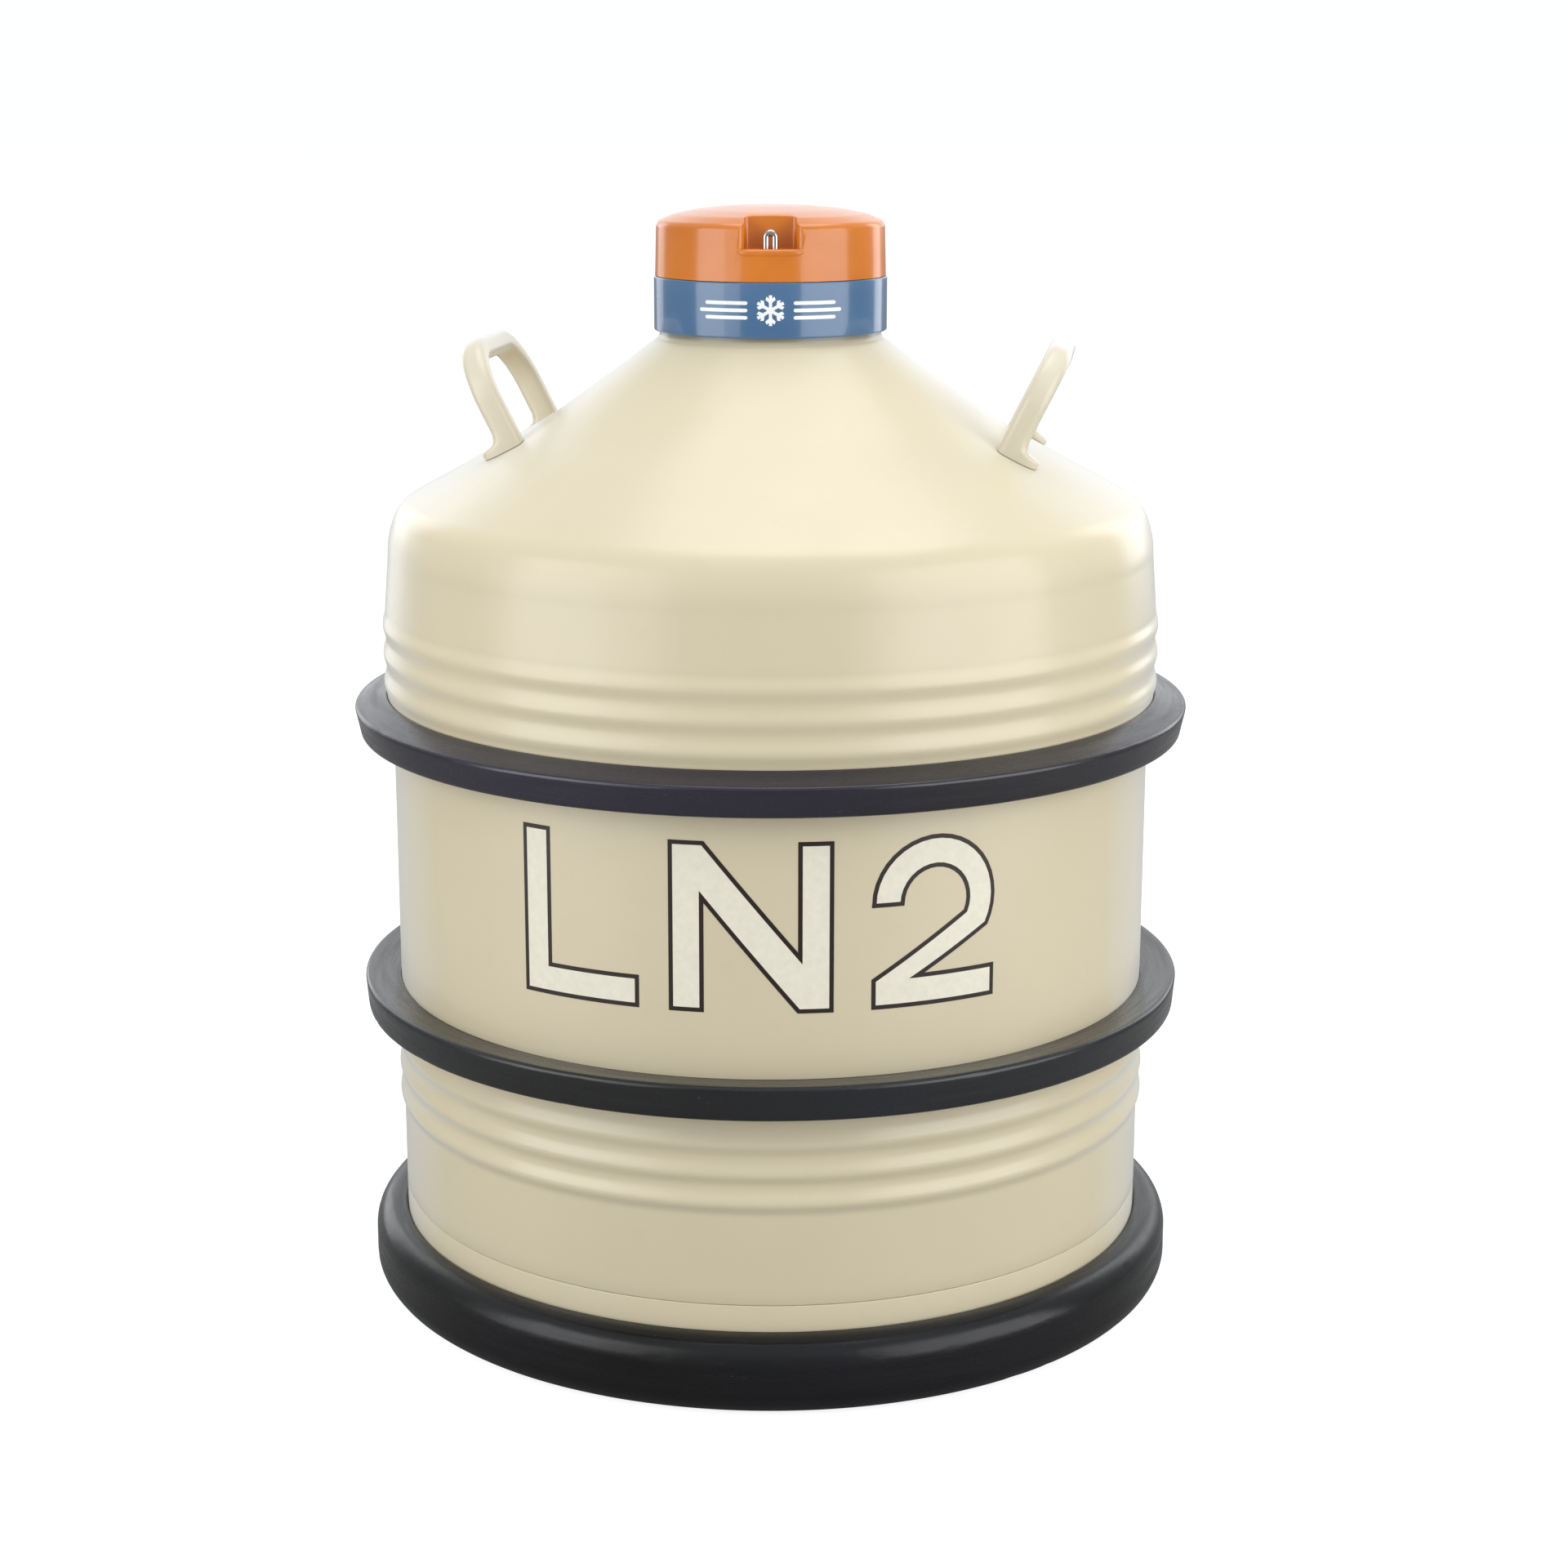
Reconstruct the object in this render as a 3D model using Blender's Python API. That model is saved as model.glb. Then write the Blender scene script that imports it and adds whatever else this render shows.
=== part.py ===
"""Liquid nitrogen dewar, as the assembly of its separate parts.

Metres, +Z up. The origin is the centre of the foot ring's underside, on the floor.
The front, where the lock notch is, faces -Y. The handles stand to the left (-X) and right (+X).
"""

import math

import bmesh
import bpy
from mathutils import Matrix, Vector

# Clearance left between neighbouring parts.
GAP = 0.0003
# How far a cutter runs past the face that it opens.
OVERRUN = 0.0010

# Facets round each turned part.
BIG_FACETS = 48
NECK_FACETS = 40
VESSEL_FACETS = 24
TUBE_FACETS = 20
SMALL_FACETS = 12
WIRE_FACETS = 10
SEAL_FACETS = 8
HEX = 6
# A drilled hole's facets are turned off those of the part it is in.
DRILL_TURN = math.radians(7.0)
# Edges sharper than this stay sharp under smooth shading.
SHARP_ANGLE = math.radians(35.0)

# Outer shell: one painted top dome, a cylinder and a bottom head.
SHELL_WALL = 0.0030
NECK_R = 0.0670
NECK_TOP = 0.6130
CONE_TOP = 0.5905
CONE_BEND = (0.1340, 0.5413)
CONE_BEND_RADIUS = 0.3000
SHOULDER_R = 0.2335
SHOULDER_KNUCKLE = (0.2264, 0.4906)
SHOULDER_KNUCKLE_RADIUS = 0.0220
SHOULDER_TURN_Z = 0.4730
SHOULDER_TURN_RADIUS = 0.0550
SHOULDER_FOOT_Z = 0.4610
SKIRT_R = 0.2362
SKIRT_TOP = 0.4300
SKIRT_BOTTOM = 0.3640
BEAD_PITCH = 0.0176
SKIRT_BEAD_CREST = 0.2388
SKIRT_BEAD_Z = (0.4195, 0.4019, 0.3843)
CYLINDER_R = 0.2328
CYLINDER_WALL = 0.0028
CYLINDER_TOP = 0.3800
CYLINDER_BOTTOM = 0.0615
CYLINDER_BEAD_CREST = 0.2352
CYLINDER_BEAD_Z = (0.1584, 0.1408, 0.1232)
HEAD_LAP_TOP = 0.0760
HEAD_R = 0.2324
HEAD_BOTTOM = 0.0100
HEAD_KNUCKLE = 0.0220
HEAD_INNER_KNUCKLE = 0.0170

# Rubber rings.
RING_FIT = 0.0004
RING_LIP = 0.0010
RING_TOP_EDGE = 0.0016
RING_BOTTOM_EDGE = 0.0012
UPPER_RING_R = 0.2565
UPPER_RING_TOP = 0.3759
UPPER_RING_SHOULDER = 0.3700
UPPER_RING_BOTTOM = 0.3524
UPPER_RING_TAPER = 0.0038
MIDDLE_RING_R = 0.2552
MIDDLE_RING_TOP = 0.2004
MIDDLE_RING_BOTTOM = 0.1793
MIDDLE_RING_TAPER = 0.0020
MIDDLE_RING_DIP = 0.0026
FOOT_RING_R = 0.2530
FOOT_RING_TOP = 0.0462
FOOT_RING_BORE = 0.2050
FOOT_RING_SEAT = 0.0095
FOOT_RING_FIT = 0.0008
FOOT_RING_SOLE_RADIUS = 0.0170
FOOT_RING_CROWN_RADIUS = 0.0150

# Handles: a bent bar on two feet, square to the cone.
HANDLE_TURN = math.radians(7.5)
HANDLE_LEAN = math.radians(26.5)
HANDLE_REF_R = 0.1461
HANDLE_REF_Z = 0.5243
HANDLE_TOP_Z = 0.5881
HANDLE_SPACING = 0.1140
HANDLE_DEPTH = 0.0150
HANDLE_WIDTH = 0.0140
HANDLE_CORNER = 0.0040
HANDLE_BEND = 0.0310
HANDLE_ROOT = 0.0120
# Toe, the wedge that widens a foot outwards. Heights are above the bar's root.
TOE_REACH = 0.0110
TOE_HEEL = 0.0030
TOE_BOTTOM = 0.0020
TOE_TIP_TOP = 0.0200
TOE_THROAT = (0.0026, 0.0220)
TOE_TOP = (0.0005, 0.0270)
TOE_SIDE_INSET = 0.0004
# The handles are cut back to the cone above this height.
CONE_CUT_LOW = 0.4400

# Neck.
BORE_R = 0.0254
TUBE_R = 0.0285
TUBE_TOP = 0.6300
TUBE_BOTTOM = 0.4900
TUBE_EDGE = 0.0008
FLANGE_TOP = 0.6229
COLLAR_R = 0.0702
COLLAR_TOP = 0.6264
COLLAR_BOTTOM = 0.5942
COLLAR_DECK = 0.0032
COLLAR_BORE = 0.0300
COLLAR_EDGE = 0.0009
COLLAR_SCREW_R = 0.0500
COLLAR_SCREW_ANGLES = (45.0, 135.0, 225.0, 315.0)
COLLAR_SCREW_LENGTH = 0.0112
COLLAR_SCREW_HOLE_BOTTOM = 0.6148
STAPLE_Y = -0.0600
STAPLE_TOP = 0.6564
STAPLE_WIRE_R = 0.0020
STAPLE_HALF_SPAN = 0.0027
STAPLE_BEND = 0.0026
STAPLE_ROOT = 0.6180
STAPLE_HOLE_BOTTOM = 0.6174
STAPLE_HOLE_R = 0.0023

# Pan-head screws.
SCREW_R = 0.0018
SCREW_HOLE_R = 0.0022
SCREW_HEAD = 0.0022
SCREW_HEAD_R = 0.0038
SCREW_CROWN_R = 0.0034
SCREW_RECESS_R = 0.0014
SCREW_RECESS_FLOOR = 0.0009

# Lid.
LID_BOTTOM = 0.6267
LID_BOTTOM_R = 0.0694
LID_EDGE_R = 0.0686
LID_EDGE_Z = 0.6583
LID_EDGE_RADIUS = 0.0045
LID_HOLLOW_RADIUS = 0.0021
LID_CROWN = ((0.0580, 0.6628), (0.0445, 0.6655), (0.0230, 0.6676))
LID_TOP = 0.6680
LID_WALL = 0.0030
# Cutters that leave a wall or a boss inside the lid run up to here.
LID_ABOVE = 0.6900
NOTCH_FLOOR = 0.6455
NOTCH_BACK = 0.0535
NOTCH_FRONT = 0.0760
NOTCH_HALF_BACK = 0.0153
NOTCH_HALF_FRONT = 0.0190
NOTCH_CORNER = 0.0030
NOTCH_FLARE_START = 0.0610
NOTCH_FLARE = 0.0052
HOUSING_BACK = (0.0190, -0.0503)
HOUSING_FRONT = (0.0222, -0.0720)
LIP_R = 0.0700
LIP_HALF_ANGLE = 16.0
LIP_HALF_BACK = 0.0180
LIP_THICKNESS = 0.0030
SLOT_HALF_LENGTH = 0.0055
SLOT_HALF_WIDTH = 0.0024
PLATE_BOTTOM = 0.6335
PLATE_TOP = 0.6375
PLATE_R = 0.0560
BOSS_RING_R = 0.0380
BOSS_ANGLES = (90.0, 210.0, 330.0)
BOSS_R = 0.0050
PILOT_TOP = 0.6515
LID_SCREW_LENGTH = 0.0165
PLUG_R = 0.0235
PLUG_BOTTOM = 0.5080
PLUG_EDGE = 0.0020
STUD_R = 0.0040
STUD_TIP_R = 0.0034
STUD_TIP = 0.0008
STUD_BOTTOM = 0.4985
STUD_TOP = 0.6435
STUD_FIT = 0.0005
WASHER_R = 0.0130
WASHER_BOTTOM = 0.5060
WASHER_TOP = 0.5077
# Corner radii of the nuts and of their six-sided bores.
NUT_R = 0.0075
NUT_BORE = 0.0052
NUT_HEIGHT = 0.0045
LOWER_NUT_BOTTOM = 0.5012

# Inner vessel and its insulation.
VESSEL_R = 0.1780
VESSEL_WALL = 0.0025
VESSEL_SPLIT = 0.2200
VESSEL_BOTTOM = 0.0520
VESSEL_BOTTOM_DISH = 0.0040
VESSEL_BOTTOM_RADIUS = 0.0400
VESSEL_SHOULDER_Z = 0.4350
VESSEL_SHOULDER_DROP = 0.0030
VESSEL_SHOULDER_RADIUS = 0.0450
VESSEL_NECK_Z = 0.4920
VESSEL_NECK_DROP = 0.0040
SOCKET_TOP = 0.5080
SOCKET_R = 0.0318
BLANKET_FIT = 0.0010
BLANKET_THICKNESS = 0.0160
BLANKET_SHOULDER_RISE = 0.0090
BLANKET_OUTER_RADIUS = 0.0600
BLANKET_LOW_RADIUS = 0.0450
BLANKET_BOTTOM = 0.0260
BLANKET_BORE = 0.0215
BLANKET_STEP_R = 0.1060
BLANKET_STEP_Z = 0.0410
SHIELD_THICKNESS = 0.0015
SHIELD_HUB = 0.0045
UPPER_SHIELD = (0.5745, 0.0800, 0.0370)
LOWER_SHIELD = (0.5345, 0.1100, 0.0420)
PACK_BORE = 0.0600
PACK_R = 0.1000
PACK_BOTTOM = 0.0415
PACK_TOP = 0.0512
CUP_R = 0.0270
CUP_BORE = 0.0203
CUP_HEIGHT = 0.0112
CUP_FLOOR = 0.0030
POST_R = 0.0200
POST_BORE = 0.0140

# Evacuation port, on the back of the cone. Its heights are above the cone's face.
PORT_R = 0.1500
PORT_HOLE_R = 0.0064
PORT_HOLE_HALF = 0.0100
PORT_BORE = 0.0045
PORT_ROOT_R = 0.0060
PORT_ROOT = -0.0070
PORT_FLANGE_R = 0.0115
PORT_FLANGE_BOTTOM = 0.0010
PORT_FLANGE_TOP = 0.0034
PORT_FILLET_TOP = 0.0042
PORT_TUBE_R = 0.0072
PORT_TOP = 0.0160
PORT_PLUG_R = 0.0041
PORT_PLUG_BOTTOM = 0.0020
PORT_PLUG_HEAD_R = 0.0068
PORT_PLUG_HEAD_BOTTOM = 0.0178
PORT_PLUG_TOP = 0.0196
PORT_SEAL_R = 0.0056
PORT_SEAL_Z = 0.0169
PORT_SEAL_HALF_WIDTH = 0.0007
PORT_SEAL_HALF_HEIGHT = 0.0006
PORT_CAP_BORE = 0.0076
PORT_CAP_R = 0.0096
PORT_CAP_EDGE = 0.0012
PORT_CAP_BOTTOM = 0.0048
PORT_CAP_INSIDE = 0.0202
PORT_CAP_TOP = 0.0224


def clear_scene():
    for obj in list(bpy.data.objects):
        bpy.data.objects.remove(obj, do_unlink=True)


def material(name, colour, metallic, roughness):
    made = bpy.data.materials.new(name)
    made.use_nodes = True
    shader = made.node_tree.nodes["Principled BSDF"]
    shader.inputs["Base Color"].default_value = (*colour, 1.0)
    shader.inputs["Metallic"].default_value = metallic
    shader.inputs["Roughness"].default_value = roughness
    return made


def add_object(name, mesh, paint):
    obj = bpy.data.objects.new(name, mesh)
    bpy.context.scene.collection.objects.link(obj)
    mesh.materials.append(paint)
    return obj


def add_smooth(name, mesh, paint):
    for polygon in mesh.polygons:
        polygon.use_smooth = True
    mesh.set_sharp_from_angle(angle=SHARP_ANGLE)
    return add_object(name, mesh, paint)


def cutter(name, mesh):
    """A helper solid that never shows."""
    obj = add_object(name, mesh, None)
    obj.hide_render = True
    obj.display_type = "WIRE"
    return obj


def combine(target, other, operation):
    step = target.modifiers.new(other.name, "BOOLEAN")
    step.operation = operation
    step.solver = "EXACT"
    step.object = other


def cut(target, other):
    combine(target, other, "DIFFERENCE")


def mesh_from(name, points, faces):
    mesh = bpy.data.meshes.new(name)
    mesh.from_pydata(points, [], faces)
    form = bmesh.new()
    form.from_mesh(mesh)
    bmesh.ops.recalc_face_normals(form, faces=form.faces)
    form.to_mesh(mesh)
    form.free()
    return mesh


def rounded(corners, steps):
    """The path through (r, z) corners, with an arc where a corner adds a radius and a step count."""
    path = []
    for i, corner in enumerate(corners):
        radius = corner[2] if len(corner) > 2 else 0.0
        count = corner[3] if len(corner) > 3 else steps
        here = Vector(corner[:2])
        if radius == 0.0:
            path.append(tuple(here))
            continue
        back = (Vector(corners[i - 1][:2]) - here).normalized()
        ahead = (Vector(corners[(i + 1) % len(corners)][:2]) - here).normalized()
        half = math.acos(max(-1.0, min(1.0, back.dot(ahead)))) / 2.0
        reach = radius / math.tan(half)
        centre = here + (back + ahead).normalized() * (radius / math.sin(half))
        start = here + back * reach - centre
        turn = math.pi - 2.0 * half
        side = 1.0 if back.cross(ahead) < 0.0 else -1.0
        for k in range(count + 1):
            spin = Matrix.Rotation(side * turn * k / count, 2)
            path.append(tuple(centre + spin @ start))
    return path


def inset(corners, wall):
    """The inner corners of an open (r, z) path, each the wall's thickness off both of its sides."""
    moved = []
    for before, here, after in zip(corners, corners[1:], corners[2:]):
        first = (Vector(here) - Vector(before)).normalized()
        second = (Vector(after) - Vector(here)).normalized()
        normals = Vector((first.y + second.y, -first.x - second.x))
        moved.append(Vector(here) + normals * wall / (1.0 + first.dot(second)))
    return [tuple(point) for point in moved]


def turned_mesh(name, profile, facets):
    """The solid of a closed (r, z) outline turned about the Z axis."""
    points = []
    rows = []
    for radius, height in profile:
        count = 1 if radius < GAP else facets
        rows.append(range(len(points), len(points) + count))
        for k in range(count):
            angle = 2.0 * math.pi * k / facets
            points.append((radius * math.cos(angle), radius * math.sin(angle), height))
    faces = []
    for i, row in enumerate(rows):
        after = rows[(i + 1) % len(rows)]
        if len(row) == 1 and len(after) == 1:
            continue
        for k in range(facets):
            near = (k + 1) % facets
            corners = [row[k % len(row)], row[near % len(row)]]
            corners += [after[near % len(after)], after[k % len(after)]]
            faces.append(list(dict.fromkeys(corners)))
    return mesh_from(name, points, faces)


def turned(name, profile, facets, paint):
    return add_smooth(name, turned_mesh(name, profile, facets), paint)


def turned_along(name, profile, facets, base, axis):
    """The mesh of a turned part whose own Z axis stands at base and points along axis."""
    mesh = turned_mesh(name, profile, facets)
    spin = Vector((0.0, 0.0, 1.0)).rotation_difference(Vector(axis)).to_matrix().to_4x4()
    mesh.transform(Matrix.Translation(base) @ spin)
    return mesh


def skinned_mesh(name, rows):
    """A closed solid through equal rows of points, capped at the first and the last row."""
    size = len(rows[0])
    points = [point for row in rows for point in row]
    faces = [list(range(size)), list(range(len(points) - size, len(points)))]
    for start in range(0, len(points) - size, size):
        for k in range(size):
            near = (k + 1) % size
            faces.append([start + k, start + near, start + size + near, start + size + k])
    return mesh_from(name, points, faces)


def prism_mesh(name, outline, bottom, top):
    """An upright prism on a plan outline of (x, y) points."""
    return skinned_mesh(name, [[(x, y, z) for x, y in outline] for z in (bottom, top)])


def disc(radius, bottom, top):
    return [(0.0, bottom), (radius, bottom), (radius, top), (0.0, top)]


def ring(inner, outer, bottom, top):
    return [(inner, bottom), (outer, bottom), (outer, top), (inner, top)]


def polar(radius, degrees):
    angle = math.radians(degrees)
    return radius * math.cos(angle), radius * math.sin(angle)


def drill(target, name, holes):
    """Cuts round holes, each given as (x, y, radius, bottom, top), with one joined cutter."""
    form = bmesh.new()
    for x, y, radius, bottom, top in holes:
        mesh = turned_mesh(name, disc(radius, bottom, top), SMALL_FACETS)
        mesh.transform(Matrix.Translation((x, y, 0.0)) @ Matrix.Rotation(DRILL_TURN, 4, "Z"))
        form.from_mesh(mesh)
        bpy.data.meshes.remove(mesh)
    joined = bpy.data.meshes.new(name)
    form.to_mesh(joined)
    form.free()
    cut(target, cutter(name, joined))


def beads(crests, crest_r, base_r):
    """Corners of a run of beads, from the top one down."""
    path = [(base_r, crests[0] + BEAD_PITCH / 2.0)]
    for height in crests:
        path.append((crest_r, height))
        path.append((base_r, height - BEAD_PITCH / 2.0))
    return path


def dome_outer():
    corners = [
        (NECK_R, CONE_TOP),
        (*CONE_BEND, CONE_BEND_RADIUS, 2),
        (*SHOULDER_KNUCKLE, SHOULDER_KNUCKLE_RADIUS, 3),
        (SHOULDER_R, SHOULDER_TURN_Z, SHOULDER_TURN_RADIUS, 2),
        (SHOULDER_R, SHOULDER_FOOT_Z),
    ]
    path = rounded(corners, 1)
    path += beads(SKIRT_BEAD_Z, SKIRT_BEAD_CREST, SKIRT_R)
    path.append((SKIRT_R, SKIRT_BOTTOM))
    return path


def dome_inner():
    corners = [
        (NECK_R, NECK_TOP),
        (NECK_R, CONE_TOP),
        CONE_BEND,
        SHOULDER_KNUCKLE,
        (SHOULDER_R, SHOULDER_TURN_Z),
        (SHOULDER_R, SHOULDER_FOOT_Z),
        (SKIRT_R, SKIRT_TOP),
    ]
    neck, bend, knuckle, turn, foot = inset(corners, SHELL_WALL)
    path = [(SKIRT_R - SHELL_WALL, SKIRT_BOTTOM), (SKIRT_R - SHELL_WALL, SKIRT_TOP), foot]
    path.append((*turn, SHOULDER_TURN_RADIUS - SHELL_WALL, 1))
    path.append((*knuckle, SHOULDER_KNUCKLE_RADIUS - SHELL_WALL, 2))
    path += [bend, neck, (neck[0], CONE_TOP)]
    return rounded(path, 1)


def cone_height(radius):
    """Height of the lower cone's outer face at this distance from the axis."""
    fall = (CONE_BEND[1] - SHOULDER_KNUCKLE[1]) / (SHOULDER_KNUCKLE[0] - CONE_BEND[0])
    return CONE_BEND[1] - (radius - CONE_BEND[0]) * fall


def make_shell(paint):
    dome = turned("outer_dome", dome_outer() + dome_inner(), BIG_FACETS, paint)
    band = ring(NECK_R - SHELL_WALL, NECK_R, CONE_TOP + GAP, NECK_TOP)
    turned("neck_band", band, BIG_FACETS, paint)
    inner_r = CYLINDER_R - CYLINDER_WALL
    wall = [(CYLINDER_R, CYLINDER_TOP)]
    wall += beads(CYLINDER_BEAD_Z, CYLINDER_BEAD_CREST, CYLINDER_R)
    wall += [(CYLINDER_R, CYLINDER_BOTTOM), (inner_r, CYLINDER_BOTTOM), (inner_r, CYLINDER_TOP)]
    turned("outer_cylinder", wall, BIG_FACETS, paint)
    lap_r = inner_r - GAP
    head = [
        (0.0, HEAD_BOTTOM + SHELL_WALL),
        (lap_r - SHELL_WALL, HEAD_BOTTOM + SHELL_WALL, HEAD_INNER_KNUCKLE),
        (lap_r - SHELL_WALL, HEAD_LAP_TOP),
        (lap_r, HEAD_LAP_TOP),
        (lap_r, CYLINDER_BOTTOM - GAP),
        (HEAD_R, CYLINDER_BOTTOM - GAP),
        (HEAD_R, HEAD_BOTTOM, HEAD_KNUCKLE),
        (0.0, HEAD_BOTTOM),
    ]
    turned("outer_bottom_head", rounded(head, 3), BIG_FACETS, paint)
    return dome


def make_rings(rubber):
    skirt_bore = SKIRT_R + RING_FIT
    body_bore = CYLINDER_R + RING_FIT
    upper = [
        (skirt_bore, UPPER_RING_TOP),
        (skirt_bore, SKIRT_BOTTOM - GAP),
        (body_bore, SKIRT_BOTTOM - GAP),
        (body_bore, UPPER_RING_BOTTOM),
        (UPPER_RING_R - UPPER_RING_TAPER, UPPER_RING_BOTTOM, RING_BOTTOM_EDGE),
        (UPPER_RING_R, UPPER_RING_SHOULDER, RING_TOP_EDGE),
        (skirt_bore + RING_LIP, UPPER_RING_TOP),
    ]
    turned("roll_ring_upper", rounded(upper, 1), BIG_FACETS, rubber)
    middle = [
        (body_bore, MIDDLE_RING_TOP - MIDDLE_RING_DIP),
        (body_bore, MIDDLE_RING_BOTTOM),
        (MIDDLE_RING_R - MIDDLE_RING_TAPER, MIDDLE_RING_BOTTOM, RING_BOTTOM_EDGE),
        (MIDDLE_RING_R, MIDDLE_RING_TOP, RING_TOP_EDGE),
        (body_bore + RING_LIP, MIDDLE_RING_TOP - MIDDLE_RING_DIP),
    ]
    turned("roll_ring_middle", rounded(middle, 1), BIG_FACETS, rubber)
    foot = [
        (HEAD_R + FOOT_RING_FIT, FOOT_RING_TOP),
        (HEAD_R + FOOT_RING_FIT, FOOT_RING_SEAT, HEAD_KNUCKLE, 3),
        (FOOT_RING_BORE, FOOT_RING_SEAT),
        (FOOT_RING_BORE, 0.0),
        (FOOT_RING_R, 0.0, FOOT_RING_SOLE_RADIUS, 4),
        (FOOT_RING_R, FOOT_RING_TOP, FOOT_RING_CROWN_RADIUS, 4),
    ]
    turned("foot_ring", rounded(foot, 1), BIG_FACETS, rubber)


def handle_frame(side):
    """Centre of the feet, and the sideways, upright and outer-face directions of one handle."""
    outward = Vector((side * math.cos(HANDLE_TURN), -side * math.sin(HANDLE_TURN), 0.0))
    sideways = Vector((0.0, 0.0, 1.0)).cross(outward)
    upright = outward * math.sin(HANDLE_LEAN) + Vector((0.0, 0.0, math.cos(HANDLE_LEAN)))
    base = outward * HANDLE_REF_R + Vector((0.0, 0.0, HANDLE_REF_Z))
    face = sideways.cross(upright)
    return base, sideways, upright, face


def handle_path():
    """(sideways, up) points of the bar's centre line, from one foot over to the other."""
    half = HANDLE_SPACING / 2.0
    top = (HANDLE_TOP_Z - HANDLE_REF_Z) / math.cos(HANDLE_LEAN) - HANDLE_WIDTH / 2.0
    corners = [(-half, -HANDLE_ROOT), (-half, top, HANDLE_BEND)]
    corners += [(half, top, HANDLE_BEND), (half, -HANDLE_ROOT)]
    return rounded(corners, 5)


def bar_section():
    depth = HANDLE_DEPTH / 2.0
    width = HANDLE_WIDTH / 2.0
    corners = [(-depth, -width), (depth, -width), (depth, width), (-depth, width)]
    return rounded([(*corner, HANDLE_CORNER) for corner in corners], 1)


def make_toe(name, start, sideways, upright, face):
    """The wedge that widens one foot outwards, along the cone."""
    heel = TOE_HEEL - HANDLE_DEPTH / 2.0
    front = HANDLE_DEPTH / 2.0
    half = HANDLE_WIDTH / 2.0 - TOE_SIDE_INSET
    outline = [(heel, TOE_BOTTOM), (front + TOE_REACH, TOE_BOTTOM), (front + TOE_REACH, TOE_TIP_TOP)]
    outline += [(front + TOE_THROAT[0], TOE_THROAT[1]), (front + TOE_TOP[0], TOE_TOP[1])]
    outline.append((heel, TOE_TOP[1]))
    rows = []
    for edge in (-half, half):
        rows.append([start + sideways * edge + face * a + upright * b for a, b in outline])
    return cutter(name, skinned_mesh(name, rows))


def make_handle(name, side, paint, cone):
    base, sideways, upright, face = handle_frame(side)
    path = [base + sideways * a + upright * b for a, b in handle_path()]
    rows = []
    for i, here in enumerate(path):
        after = path[min(i + 1, len(path) - 1)]
        before = path[max(i - 1, 0)]
        across = face.cross((after - before).normalized())
        rows.append([here + face * a + across * b for a, b in bar_section()])
    handle = add_smooth(name, skinned_mesh(name, rows), paint)
    for end, start in (("front", path[0]), ("back", path[-1])):
        toe = make_toe(f"toe_{name}_{end}", start, sideways, upright, face)
        combine(handle, toe, "UNION")
    cut(handle, cone)


def make_handles(paint):
    lower = [(r + GAP, z + GAP) for r, z in dome_outer() if z > CONE_CUT_LOW]
    outline = lower + [(0.0, CONE_CUT_LOW), (0.0, CONE_TOP)]
    cone = cutter("cut_cone", turned_mesh("cut_cone", outline, BIG_FACETS))
    make_handle("handle_left", -1.0, paint, cone)
    make_handle("handle_right", 1.0, paint, cone)


def staple_path():
    top = STAPLE_TOP - STAPLE_WIRE_R
    corners = [(-STAPLE_HALF_SPAN, STAPLE_ROOT), (-STAPLE_HALF_SPAN, top, STAPLE_BEND)]
    corners += [(STAPLE_HALF_SPAN, top, STAPLE_BEND), (STAPLE_HALF_SPAN, STAPLE_ROOT)]
    return [Vector((x, STAPLE_Y, z)) for x, z in rounded(corners, 5)]


def make_staple(chrome):
    """A round wire along a path that lies in one upright plane facing -Y."""
    path = staple_path()
    side = Vector((0.0, 1.0, 0.0))
    rows = []
    for i, here in enumerate(path):
        along = (path[min(i + 1, len(path) - 1)] - path[max(i - 1, 0)]).normalized()
        across = side.cross(along)
        angles = [2.0 * math.pi * k / WIRE_FACETS for k in range(WIRE_FACETS)]
        spokes = [across * math.cos(angle) + side * math.sin(angle) for angle in angles]
        rows.append([here + spoke * STAPLE_WIRE_R for spoke in spokes])
    add_smooth("lock_staple", skinned_mesh("lock_staple", rows), chrome)


def make_screw(name, x, y, seat, way, length, paint):
    """A pan-head screw. Its shank runs from the seat down (way -1) or up (way +1)."""
    profile = [
        (0.0, -length),
        (SCREW_R, -length),
        (SCREW_R, 0.0),
        (SCREW_HEAD_R, 0.0),
        (SCREW_CROWN_R, SCREW_HEAD),
        (SCREW_RECESS_R, SCREW_HEAD),
        (0.0, SCREW_RECESS_FLOOR),
    ]
    mesh = turned_along(name, profile, SMALL_FACETS, (x, y, seat), (0.0, 0.0, -way))
    add_smooth(name, mesh, paint)


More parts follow.
